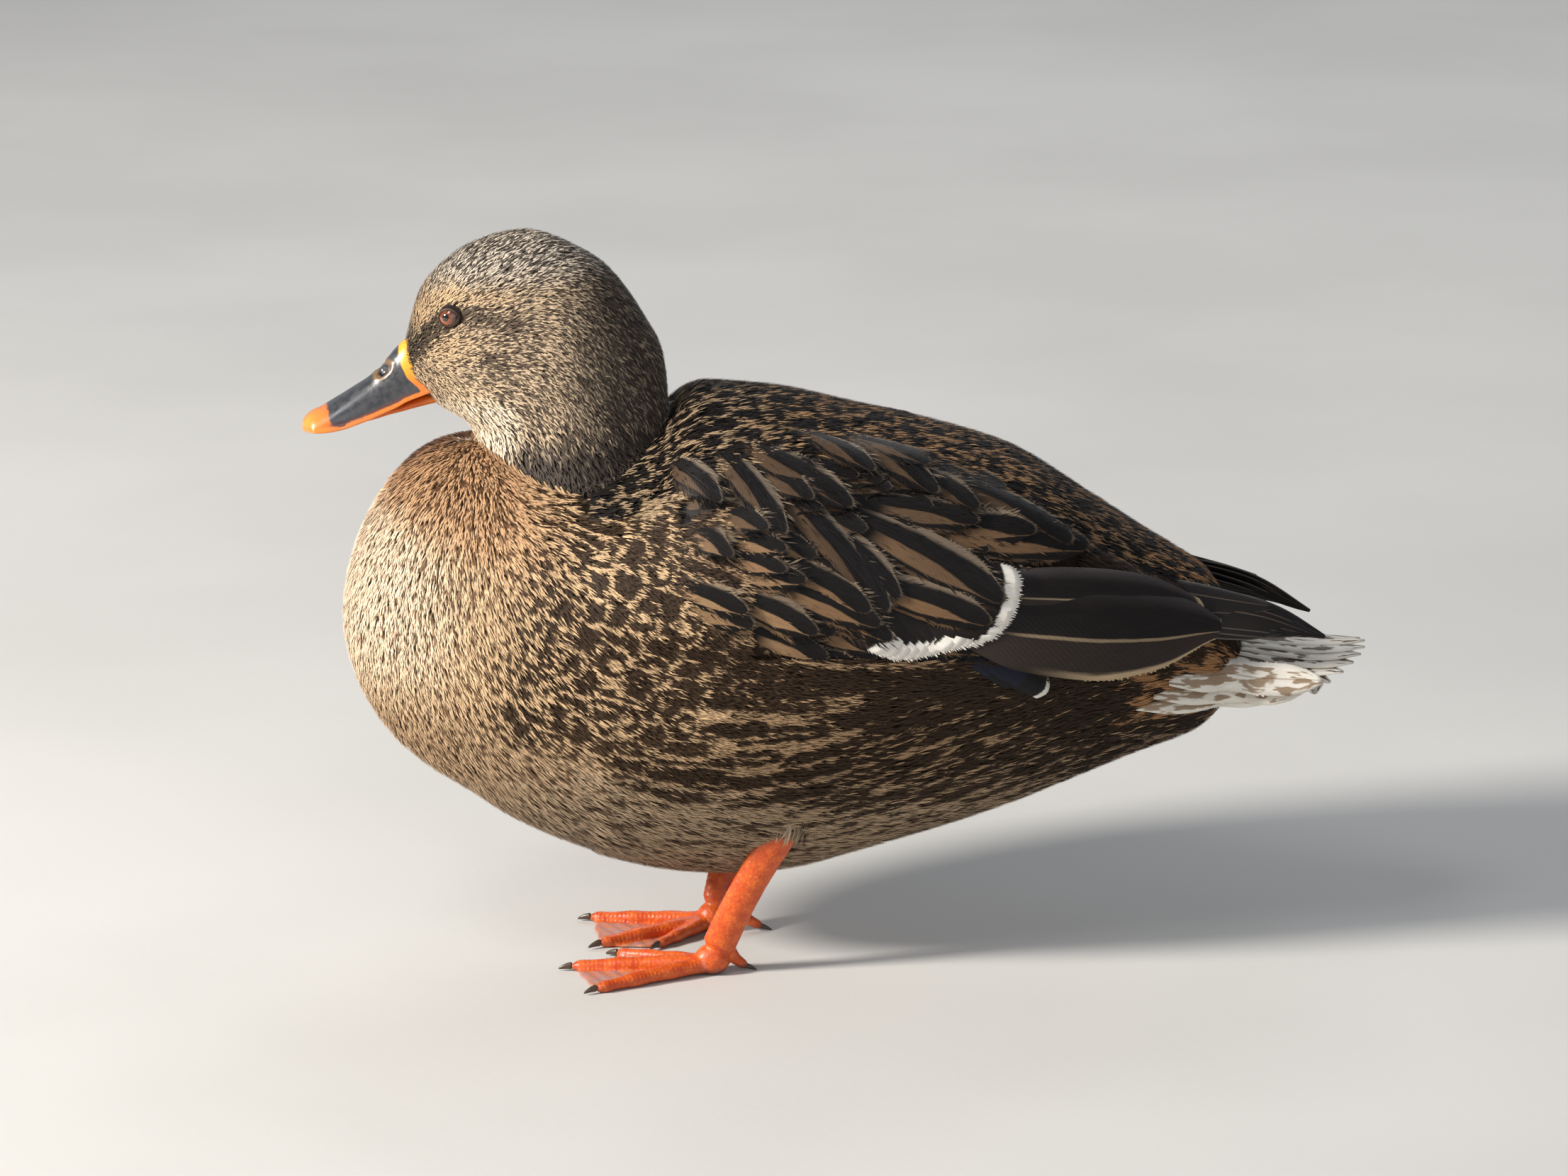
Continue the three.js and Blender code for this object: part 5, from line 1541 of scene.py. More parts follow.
def flight_material(name, kind):
    g = Graph(name)
    fu, fv, seed = g.parts("place")
    web, grey, _ = g.parts("marks_c")
    dark, pale = g.colour("dark"), g.colour("pale")
    fine = g.noise(g.vec(fu * 16.0, fv * 3.0 - fu.abs() * 2.2 + seed * 40.0, seed), 3.2, 3.0, 0.6)
    wide = g.noise(g.vec(fu * 2.0, fv * 3.0 + seed * 10.0, seed), 2.0, 2.0)
    w = fu * web
    col = g.mix(g.step(wide, 0.3, 0.7) * 0.3, dark, srgb(38, 30, 26))
    if kind == "tertial":
        # painted sheen: grey along the upper edge of the tertials
        col = g.mix(g.step(w, -0.30, -0.95) * grey, col, srgb(64, 58, 58))
        band = g.step(w + (wide - 0.5) * 0.1, 0.30, 0.42)
        col = g.mix(band * 0.7, col, srgb(52, 42, 36))
        line = g.step((w - 0.335 + (wide - 0.5) * 0.05).abs() + (fine - 0.5) * 0.02, 0.045, 0.015) * g.step(fv, 0.12, 0.3)
        col = g.mix(line * 0.55, col, pale)
        rim = g.step(w + (fine - 0.5) * 0.10, 0.86, 0.95).max(g.step(fv + (fine - 0.5) * 0.03, 0.965, 0.99))
        col = g.mix(rim * g.step(fv, 0.25, 0.55), col, pale)
    elif kind == "primary":
        line = g.step(fu.abs(), 0.07, 0.02)
        col = g.mix(line * 0.40, col, srgb(120, 104, 90))
        rim = g.step(fu.abs() + (fine - 0.5) * 0.05, 0.90, 0.98)
        col = g.mix(rim * 0.45, col, pale)
    elif kind == "covert":
        white = g.step(fv + (fine - 0.5) * 0.07 - grey, -0.012, 0.012)
        bar = g.step((w - 0.42).abs() + (fine - 0.5) * 0.14, 0.24, 0.12) * g.step(fv, 0.25, 0.45) * g.step(fv, 0.84, 0.72)
        col = g.mix(bar * 0.25, col, srgb(120, 84, 52))
        col = g.mix(white, col, pale)
    elif kind == "speculum":
        col = g.mix(0.75, col, srgb(18, 24, 46))
        blk = g.step(fv, 0.74, 0.80)
        col = g.mix(blk, col, srgb(15, 14, 16))
        white = g.step(fv + (fine - 0.5) * 0.02, 0.955, 0.97) * grey
        col = g.mix(white, col, pale)
    elif kind == "tail":
        blot = g.noise(g.vec(fu * 1.4 + seed * 30.0, fv * 4.2, seed * 9.0), 1.7, 2.0)
        m = g.step(blot + (fine - 0.5) * 0.14 - g.step(fu.abs(), 0.55, 1.0) * 0.16 + g.step(fv, 0.75, 0.2) * 0.10, 0.50, 0.58)
        col = g.mix(m, pale, dark)
        col = g.mix(g.step(fu.abs(), 0.08, 0.02) * 0.5, col, srgb(120, 92, 66))
    shade = g.step(fine, 0.2, 0.85, lo=0.84, hi=1.14)
    col = g.mix(1.0, col, g.vec(shade, shade, shade), "MULTIPLY")
    ridge = (fv * 260.0 - fu.abs() * 60.0).sin() * 0.3 + fine
    n = g.bump(ridge, 0.00014, 0.5)
    g.out(col, g.step(fine, 0.2, 0.8, lo=0.42, hi=0.56), n, Specular_IOR_Level=0.22, Sheen_Weight=0.0, Sheen_Roughness=0.5,
          Sheen_Tint=(0.85, 0.85, 0.9))
    return g.mat


mats = {k: flight_material(k + "_feathers", k) for k in ("tertial", "primary", "covert", "speculum", "tail")}
DARKBROWN, BONE = srgb(20, 15, 13), srgb(178, 154, 122)


def outer_face(node):
    """y of a side plate's outer face as a smooth function of the side view."""
    me = frame["nodes"][node].data
    co = np.empty(len(me.vertices) * 3, np.float32)
    me.vertices.foreach_get("co", co)
    P = co.reshape(-1, 3).astype(float) * 1000 - np.array([OX, 0, 0])
    x, z = P[:, 0], P[:, 2]
    mx, mz = x.mean(), z.mean()
    M = lambda x, z: np.stack([np.ones_like(x), x - mx, z - mz, (x - mx) ** 2, (x - mx) * (z - mz), (z - mz) ** 2], -1)
    k, *_ = np.linalg.lstsq(M(x, z), np.abs(P[:, 1]), rcond=None)
    top = (np.abs(P[:, 1]) - M(x, z) @ k).max()
    return lambda x, z: M(np.asarray(x, float), np.asarray(z, float)) @ k + top * 0.8


for tag in ("left", "right"):
    s = by_side(tag)
    gen = np.random.default_rng(90 + s)
    web = float(s)
    down_first = s < 0            # on the left the side c = +1 is up

    def sided(f):
        """Outline rows given as (upper, lower) put on the feather's two sides."""
        return (lambda u: (f(u)[1], f(u)[0])) if down_first else f

    yface = outer_face("tertials_" + tag)
    at = lambda x, z, o=0.0: (x, s * (float(yface(x, z)) + o), z)
    out_n = np.array([-0.05, s * 1.0, 0.42])
    # secondaries with the speculum, of which a sliver shows
    c = Coat("speculum_" + tag, "flight_feathers", mats["speculum"])
    for i, (x0, z0, x1, z1) in enumerate([(78, 158, 112, 129.0), (84, 158, 119, 125.5), (88, 157, 124.5, 122.5)]):
        P, N = on_skin(side_point([x0, (x0 + x1) / 2, x1], [z0, (z0 + z1) / 2 - 1, z1], s))
        line = P + N * np.array([0.8, 2.6, 5.2])[:, None]
        blade(c, line, out_n, sided(leaf((0, 4, 4), (0.5, 6, 6), (0.9, 6, 5.6), (1, 4.8, 4.6))), gen,
              one(DARKBROWN, WHITE, gen, web=web, grey=float(i == 2)), nv=14, nu=7, camber=0.8, fringe=12, hair=0.8)
    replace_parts(c.build(), "wing_" + tag)
    # tertials
    c = Coat("tertials_coat_" + tag, "flight_feathers", mats["tertial"])
    look = lambda g_: one(DARKBROWN, BONE, gen, web=web, grey=g_)
    blade(c, [at(92, 166, -7.0), at(120, 164, -3.6), at(150, 160, -2.4), at(176, 153.5, -2.0), at(190, 148, -1.6)], out_n,
          sided(leaf((0, 6, 8), (0.4, 9, 12), (0.75, 8, 10), (1, 3, 3))), gen, look(0.9), camber=1.5, tip=0.9)
    blade(c, [at(86, 158, -6.5), at(110, 155, -3.2), at(140, 150.5, -0.8), at(168, 146, -0.4), at(188, 142.5, 0), at(200.5, 138.8, 0)], out_n,
          sided(leaf((0, 8, 10), (0.25, 15, 21), (0.5, 17.5, 23), (0.72, 15.5, 19), (0.88, 9.5, 11.5), (0.97, 4, 4.5), (1, 2.2, 2.4))), gen, look(0.8),
          nv=40, nu=15, camber=2.4, tip=0.5, fringe=60, hair=0.9)
    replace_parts(c.build(), "tertials_" + tag)
    # greater coverts, tipped white
    c = Coat("covert_coat_" + tag, "wing_plumage", mats["covert"])
    arc = smooth_line([(62, 146.4), (71, 143.6), (80, 144.2), (91, 146.8), (98.0, 148.4), (104.5, 151.0), (109.6, 156.0), (112.4, 161.5), (113, 166.5)], 18)
    for i, (x1, z1) in enumerate(arc):
        f = i / 17
        ang = math.radians(44 - 30 * float(smooth(0.35, 0.85, f)))
        x0, z0 = x1 - 46 * math.cos(ang), z1 + 46 * math.sin(ang)
        P, N = on_skin(side_point([x0, (x0 * 2 + x1) / 3, (x0 + 2 * x1) / 3, x1], [z0, (z0 * 2 + z1) / 3 - 1.2, (z0 + 2 * z1) / 3 - 1.2, z1], s))
        h = np.array([1.0, 2.4, 4.2, 5.8])[:, None] - 0.10 * i
        line = P + N * h
        over = smooth(78, 92, line[:, 0]) * np.array([0, 0.1, 0.6, 1.0])
        want = yface(line[:, 0], line[:, 2]) - 0.9 - 0.05 * i
        line[:, 1] = s * (np.abs(line[:, 1]) * (1 - over) + np.maximum(np.abs(line[:, 1]), want) * over)
        blade(c, line, out_n, sided(leaf((0, 4, 4), (0.4, 6.6, 6.6), (0.8, 6.8, 6.8), (0.95, 6.0, 6.0), (1, 4.9, 4.9))), gen,
              one(DARKBROWN, WHITE, gen, web=web, grey=0.900 - 0.03 * f), nv=20, nu=7, camber=0.7, tip=0.35, fringe=70, hair=1.7)
    c.build()
    # primaries past the tertials
    c = Coat("primaries_coat_" + tag, "flight_feathers", mats["primary"])
    a = s
    prim = [((150, 39, 149), (180, 31.5, 145), (206, 28.5, 139.6), (222, 26.5, 136.4), 7.4),
            ((150, 39, 151), (181, 31, 147), (210, 28, 140.8), (230, 24.5, 134.8), 7.6),
            ((150, 39, 153), (181, 30.5, 149), (212, 27.5, 143), (236, 22.5, 133.2), 7.8),
            ((150, 39, 155), (181, 30, 151), (212, 27.0, 145), (240.3, 20.5, 131.8), 7.6),
            ((150, 38, 158), (178, 31, 154), (200, 28.5, 149.5), (219, 26.0, 145.5), 6.8)]
    for i, (p0, p1, p2, p3, w) in enumerate(prim):
        line = [(q[0], a * (q[1] + 0.9 * (2 - i)), q[2] + 0.0) for q in (p0, p1, p2, p3)]
        blade(c, line, (0, s * math.cos(math.radians(40)), math.sin(math.radians(40))),
              sided(leaf((0, w * 0.9, w * 0.9), (0.5, w * 0.85, w), (0.8, w * 0.6, w * 0.75), (0.94, w * 0.3, w * 0.36), (1, 0.8, 0.8))), gen,
              one(srgb(26, 22, 21), srgb(120, 112, 104), gen, web=web), nv=24, nu=7, camber=0.9, tip=0.3)
    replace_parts(c.build(), "primaries_" + tag)

# tail
c = Coat("tail_coat", "tail_feathers", mats["tail"])
gen = np.random.default_rng(77)
order = sorted(range(-6, 7), key=lambda k: -abs(k))
for k in order:
    f = k / 6
    yr, yt = 13 * f, 33.0 * np.sign(f) * abs(f) ** 0.9
    xt = 259.5 - 25 * abs(f) ** 1.8
    arch = lambda y: -11 * (y / 35) ** 2
    z0, z1 = 127.5 + 0.4 * (6 - abs(k)), 121.0 + arch(yt) + 0.42 * (6 - abs(k)) + 1.0
    line = [(186, yr, z0 + arch(yr) * 0.5), (210, yr + (yt - yr) * 0.35, z0 - 1.8 + arch(yt) * 0.35),
            (234, yr + (yt - yr) * 0.72, z1 + 1.6 - arch(yt) * 0.12), (xt, yt, z1)]
    blade(c, line, (0.06, 0.35 * f, 1), leaf((0, 5, 5), (0.4, 8.0, 8.0), (0.70, 9.0, 9.0), (0.88, 6.4, 6.4), (0.96, 3.0, 3.0), (1, 1.0, 1.0)), gen,
          one(srgb(84, 64, 46), srgb(226, 218, 204), gen), nv=28, nu=9, camber=0.8, tip=0.35, fringe=90, hair=0.6)
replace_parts(c.build(), "tail")


def hug(x, z, s, lift):
    """The point beside the rump at x, z, `lift` outside the skin."""
    q = np.array([[x, s * 62.0, z]])
    for _ in range(30):
        d, g = field(q)
        q[0, 1] -= s * 0.8 * (d[0] - lift)
    return q[0, 1]


# outer tail feathers, lying along the rump's side below the folded wing tip
for tag in ("left", "right"):
    s = by_side(tag)
    gen = np.random.default_rng(90 + s)
    c = Coat("tail_side_" + tag, "tail_feathers", mats["tail"])
    for j, (x0, za, x1, zb, w) in enumerate(((176, 121.0, 238, 117.5, 6.6), (170, 115.5, 231, 113.5, 6.4), (163, 110.5, 221, 111.5, 5.6))):
        line = []
        for t in np.linspace(0, 1, 6):
            x, z = x0 + (x1 - x0) * t, za + (zb - za) * t
            far = float(smooth(196, 214, np.array([x]))[0])
            y = abs(hug(min(x, 204.0), z, s, 3.0 + 2.4 * min(t * 4, 1) - 0.5 * j))
            y = y * (1 - far) + (33.0 - 1.0 * j) * far
            line.append((x, s * y, z))
        blade(c, line, (0, s * 0.86, 0.5), leaf((0, w * 0.5, w * 0.5), (0.3, w, w), (0.75, w, w), (0.92, w * 0.66, w * 0.66), (1, 0.8, 0.8)), gen,
              one(srgb(158, 136, 112), srgb(232, 225, 212), gen), nv=26, nu=7, camber=0.7, tip=0.3, fringe=70, hair=0.9)
    c.build()


# ------------------------------------------------------------------------ bill
def cap_tip(x, x1, length):
    return cap((x - x1) / length)


def upper_bill(t, a):
    x = -106 + (-161.5 + 106) * (1 - (1 - t) ** 1.25)
    edge, high, half = bill_upper(x).T
    r = np.maximum(cap_tip(x, -161.5, 4.5), 0.0)
    s, c = np.sin(a), np.cos(a)
    y = np.sign(c) * np.abs(c) ** 0.8 * half * r
    z = np.where(s > 0, edge + 1 + (high - 1) * np.abs(s) ** 1.05 * np.sqrt(r), edge + 1 + s * r)
    return np.stack([x, y, z], -1)


def lower_bill(t, a):
    x = -102 + (-152 + 102) * (1 - (1 - t) ** 1.2)
    low, thick, half = bill_lower(x).T
    r = cap_tip(x, -152, 3.5)
    s, c = np.sin(a), np.cos(a)
    return np.stack([x, np.sign(c) * np.abs(c) ** 0.7 * half * r, low + thick / 2 + np.sign(s) * np.abs(s) ** 0.8 * thick / 2 * np.maximum(r, 0.25)], -1)


def vertex_normals(V, F):
    T = np.concatenate([np.asarray(f)[:, [0, i, i + 1]] for f in F for i in range(1, np.asarray(f).shape[1] - 1)])
    n = np.cross(V[T[:, 1]] - V[T[:, 0]], V[T[:, 2]] - V[T[:, 0]])
    out = np.zeros_like(V)
    for k in range(3):
        np.add.at(out, T[:, k], n)
    return unit(out)


NOSTRIL = np.array([-130.3, 242.0])
NOSTRIL_WAY = np.array([-0.74, -0.67])


def nostril_place(V):
    q = V[:, [0, 2]] - NOSTRIL
    return q @ NOSTRIL_WAY, q @ np.array([0.67, -0.74])


V, F = closed_form(upper_bill, 120, 190)
NB = vertex_normals(V, F)
if (NB[:, 2] * (V[:, 2] > 235)).sum() < 0:
    NB = -NB
    F = [np.asarray(f)[:, ::-1] for f in F]
ta, tb = nostril_place(V)
oval = np.sqrt((ta / 2.3) ** 2 + (tb / 1.15) ** 2)
groove = np.sqrt(((ta + 0.8) / 4.4) ** 2 + (tb / 2.1) ** 2)
rows_b = bill_upper(V[:, 0]).T
height = V[:, 2] - rows_b[0]
to_tip = V[:, 0] + 161.5
shift = -1.5 * smooth(1.1, 0.45, oval) * (height > 4) + 0.16 * np.exp(-((groove - 1.0) / 0.22) ** 2) * (height > 4) - 0.25 * smooth(1, 0.6, groove) * (height > 4)
lip = np.exp(-((height - 0.9) / 0.9) ** 2) * smooth(2, 8, to_tip)
shift = shift + 0.38 * lip - 0.22 * np.exp(-((height - 2.9) / 0.8) ** 2) * smooth(4, 12, to_tip) * smooth(52, 40, to_tip)
nail = smooth(1.25, 0.75, np.sqrt(((to_tip - 1.0) / 6.0) ** 2 + (V[:, 1] / 4.6) ** 2))
shift = shift + 0.42 * nail
V = V + NB * shift[:, None]
skull = (V[:, 0] > -121) & (height > 0)
fwd = feather_edge(V[:, 2]) - V[:, 0]
ob = make_mesh("bill_upper_horn", V, F, attrs={"horn": np.stack([fwd, height, to_tip], -1) / 10,
                                                "nose": np.stack([np.clip(oval, 0, 4), np.clip(groove, 0, 4), nail], -1) / 4})
g = Graph("bill_horn")
fwd_, h_, tip_ = [v * 10.0 for v in g.parts("horn")]
ov, gr, nl = [v * 4.0 for v in g.parts("nose")]
n1 = g.noise(None, 420.0, 3.0)
n2 = g.noise(None, 1500.0, 2.0)
yellow = g.mix(g.step(h_, 16.0, 5.0), srgb(238, 168, 44), srgb(226, 118, 30))
tip_col = g.mix(g.step(tip_, 10.0, 0.0), srgb(216, 112, 40), srgb(226, 140, 52))
orange = g.mix(g.step(tip_, 16.0, 9.0), yellow, tip_col)
lip_col = g.mix(n1, srgb(228, 130, 34), srgb(214, 104, 30))
orange = g.mix(g.step(h_, 3.2, 2.0), orange, lip_col)
saddle = g.step(fwd_ + (n1 - 0.5) * 1.2, 1.1, 1.8) * g.step(tip_ + (n1 - 0.5) * 2.4 + h_ * 0.25, 11.0, 12.6) * g.step(h_ + (n1 - 0.5) * 1.6 + tip_ * 0.02, 2.6, 3.8)
slate = g.mix(g.step(n1, 0.3, 0.7), srgb(38, 40, 45), srgb(58, 58, 60))
col = g.mix(saddle, orange, slate)
red = g.step((h_ - 3.2).abs() + (n1 - 0.5) * 0.8, 0.9, 0.3) * g.step(tip_, 8.0, 14.0) * g.step(tip_, 46.0, 38.0)
col = g.mix(red * 0.55, col, srgb(96, 34, 24))
blot = g.step(((((tip_ - 14.6) / 3.4) ** 2.0) + (((h_ - 2.9) / 1.0) ** 2.0)) ** 0.5 + (n1 - 0.5) * 1.2, 1.15, 0.7)
col = g.mix(blot * 0.9, col, srgb(58, 26, 34))
rim = g.step(gr, 1.35, 1.05) * g.step(gr, 0.55, 0.8)
col = g.mix(rim * g.step(n1 + 0.1, 0.35, 0.5) * g.step(h_, 6.0, 9.0) * 0.5, col, srgb(150, 108, 46))
# painted shade: the nostril's opening painted near black
col = g.mix(g.step(ov, 0.95, 0.75) * g.step(h_, 5.0, 7.0), col, srgb(18, 12, 12))
col = g.mix(g.step(nl, 2.6, 3.4) * g.step(h_, 1.6, 0.6), col, srgb(70, 58, 36))
wr = g.noise(g.vec(g.place()[0] * 900.0, g.place()[1] * 380.0, g.place()[2] * 900.0), 1.0, 3.0, 0.6)
nrm = g.bump(wr * g.step(tip_, 12.0, 22.0) + n2 * 0.25, 0.00028, 0.42)
g.out(col, g.step(n1, 0.3, 0.7, lo=0.24, hi=0.36), nrm, Coat_Weight=1.0, Coat_Roughness=0.28, Specular_IOR_Level=0.6)
dress(ob, g.mat)
horn_mat = g.mat
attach(ob, "root")
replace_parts(ob, "bill_upper")

V, F = closed_form(lower_bill, 72, 110)
NB = vertex_normals(V, F)
if (NB[:, 2] * (V[:, 2] - V[:, 2].mean() > 0)).sum() < 0:
    F = [np.asarray(f)[:, ::-1] for f in F]
ob = make_mesh("bill_lower_horn", V, F)
g = Graph("bill_lower_horn")
n1 = g.noise(None, 420.0, 3.0)
X = g.place()[0]
back = g.step(X, (-118 + OX) / 1000, (-106 + OX) / 1000)
col = g.mix(n1, srgb(214, 104, 26), srgb(198, 84, 24))
col = g.mix(back * 0.6, col, srgb(220, 140, 40))
g.out(col, 0.32, g.bump(g.noise(None, 900.0, 3.0), 0.0002, 0.35), Coat_Weight=0.3, Coat_Roughness=0.2)
dress(ob, g.mat)
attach(ob, "root")
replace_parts(ob, "bill_lower")

# ------------------------------------------------------------------------ eyes
OPEN_X, OPEN_Z = 3.45, 3.10


def eye_frame(s):
    look = unit(np.array([-0.42, s * 1.0, 0.06]))
    fore = unit(np.array([-1, 0, 0]) - look * np.dot([-1, 0, 0], look))
    up = np.cross(look, fore) * (1 if s > 0 else -1)
    if up[2] < 0:
        up = -up
    return look, fore, up


eye_mat = None
for tag in ("left", "right"):
    s = by_side(tag)
    look, fore, up = eye_frame(s)
    centre = EYE * [1, s, 1]
    gaze = unit(look + 0.10 * fore + 0.05 * up)
    gf = unit(fore - gaze * np.dot(fore, gaze))
    gu = np.cross(gaze, gf) * (1 if np.dot(np.cross(gaze, gf), up) > 0 else -1)

    def ball(t, a):
        ph = np.pi * t
        r = EYE_R + 0.38 * np.exp(-(ph / 0.42) ** 2)
        return centre + (np.cos(ph) * r)[..., None] * gaze + (np.sin(ph) * r * np.cos(a))[..., None] * gf + (np.sin(ph) * r * np.sin(a))[..., None] * gu
    V, F = closed_form(ball, 96, 90)
    NB = vertex_normals(V, F)
    if ((V - centre) * NB).sum() < 0:
        F = [np.asarray(f)[:, ::-1] for f in F]
    q = unit(V - centre)
    rad = np.arccos(np.clip(q @ gaze, -1, 1))
    ang = np.arctan2(q @ gu, q @ gf)
    ob = make_mesh("eyeball_" + tag, V, F, attrs={"iris": np.stack([rad, np.cos(ang) * 0.5 + 0.5, np.sin(ang) * 0.5 + 0.5], -1)})
    if eye_mat is None:
        g = Graph("eye_glass")
        rd, ca, sa = g.parts("iris")
        rays = g.noise(g.vec(ca * 9.0, sa * 9.0, rd * 2.0), 3.0, 2.0)
        edge = g.step(rd, 0.40, 0.66)
        col = g.mix(g.step(rays, 0.3, 0.7), srgb(84, 42, 20), srgb(124, 66, 30))
        # painted light: the lower part of the iris lighter, where light through the cornea falls
        col = g.mix(g.step(sa, 0.75, 0.25) * 0.5, col, srgb(154, 86, 38))
        col = g.mix(edge * 0.8, col, srgb(66, 26, 18))
        col = g.mix(g.step(rd, 0.262, 0.232), col, srgb(6, 7, 12))
        col = g.mix(g.step(rd, 0.70, 0.76), col, srgb(26, 16, 14))
        g.out(col, 0.10, None, Coat_Weight=1.0, Coat_Roughness=0.02, Specular_IOR_Level=0.5)
        eye_mat = g.mat
    dress(ob, eye_mat)
    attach(ob, "root")
    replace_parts(ob, "eye_" + tag)

    # the lids: a thin rim round the opening, running back into the feathers
    n, m = 96, 14
    th = np.arange(n) / n * 2 * np.pi
    prof = np.arange(m) / m * 2 * np.pi
    TH, PR = np.meshgrid(th, prof, indexing="ij")
    rx = OPEN_X * (1 + 0.10 * np.maximum(np.cos(TH), 0) ** 6 + 0.10 * np.maximum(-np.cos(TH), 0) ** 6)
    ez = OPEN_Z * np.where(np.sin(TH) > 0, 0.98, 1.0)
    tube_r = 0.30 + 0.05 * np.sin(TH)
    ox = (rx + tube_r * 1.25 * (1 - np.cos(PR))) * np.cos(TH)
    oz = (ez + tube_r * 1.10 * (1 - np.cos(PR))) * np.sin(TH)
    rr = np.sqrt(ox ** 2 + oz ** 2)
    out = np.sqrt(np.maximum((EYE_R + 0.10) ** 2 - np.minimum(rr, 5.0) ** 2, 0.3)) + 0.30 * np.sin(PR) * 1.6 - 0.05 * (rr - OPEN_Z)
    V = centre + ox[..., None] * fore + oz[..., None] * up + out[..., None] * look
    Fq = grid_faces(n, m, close_u=True, close_v=True)
    NB = vertex_normals(V.reshape(-1, 3), [Fq])
    if ((V.reshape(-1, 3) - centre) @ look * (NB @ look)).sum() < 0:
        Fq = Fq[:, ::-1]
    ob = make_mesh("lids_" + tag, V.reshape(-1, 3), [Fq], attrs={"rim": (1 - np.cos(PR)).ravel() / 2})
    g = Graph("lids_" + tag)
    rim = g.number("rim")
    n1 = g.noise(None, 2500.0, 2.0)
    g.out(g.mix(g.step(rim, 0.25, 0.85), srgb(24, 16, 14), srgb(96, 74, 54)), 0.5, g.bump(n1, 0.0001, 0.5))
    dress(ob, g.mat)
    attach(ob, "root")

# --------------------------------------------------------------- legs and feet
ANKLE = {-1: (-2.5, 27.5, 8.0), 1: (1.5, 27.5, 8.0)}
THIGH = {-1: (25, 43, 66), 1: (19, 43, 65)}
leg_half = curve([[0, 6.6, 4.6], [0.45, 6.2, 4.1], [0.8, 6.3, 4.2], [1, 6.4, 4.4]])
TOES = {-1: {2: (-41, 5, 3.1), 3: (-60, 21, 3.4), 4: (-51.5, 50, 3.2)},
        1: {2: (-24, 4, 3.0), 3: (-47.5, 7, 3.4), 4: (-50, 42, 3.2)}}
HIND = {-1: 12.0, 1: 17.5}
CLAW, WEB = 4.6, 1.3


def tube(path, halves, around, along, flat=1.0, ends=14.0):
    f = smooth_line(path, 200)

    def fn(t, a):
        i = t * 199
        p = np.stack([np.interp(i, np.arange(200), f[:, k]) for k in range(3)], -1)
        q = np.stack([np.interp(np.clip(i + 2, 0, 199), np.arange(200), f[:, k]) for k in range(3)], -1)
        w = np.stack([np.interp(np.clip(i - 2, 0, 199), np.arange(200), f[:, k]) for k in range(3)], -1)
        d = unit(q - w)
        side = unit(np.stack([-d[:, 1], d[:, 0], 0 * d[:, 0]], -1))
        rise = np.cross(d, side)
        rise = rise * np.where(rise[:, 2:] < 0, -1, 1)
        end = np.minimum(1, np.minimum(np.sqrt(t * ends), np.sqrt((1 - t) * ends)))
        h = halves(t)[:, 0] * end
        return p + side * (h * np.cos(a))[:, None] + rise * (h * flat * np.sin(a))[:, None]
    return closed_form(fn, around, along)


def slab(outline, z0, z1):
    """A flat closed plate over a star-shaped outline."""
    o = np.array(outline, float)
    c = o.mean(0)
    n = len(o)
    V = np.concatenate([np.column_stack([o, np.full(n, z0)]), np.column_stack([o, np.full(n, z1)]), [[*c, z0]], [[*c, z1]]])
    i = np.arange(n)
    j = (i + 1) % n
    return V, [np.stack([i, j, j + n, i + n], -1), np.stack([np.full(n, 2 * n), j, i], -1), np.stack([np.full(n, 2 * n + 1), i + n, j + n], -1)]


def along_line(p, a, b):
    a, b = np.array(a, float), np.array(b, float)
    t = np.clip(((p - a) @ (b - a)) / ((b - a) @ (b - a)), 0, 1)
    return t, np.linalg.norm(p - a - t[:, None] * (b - a), axis=1)


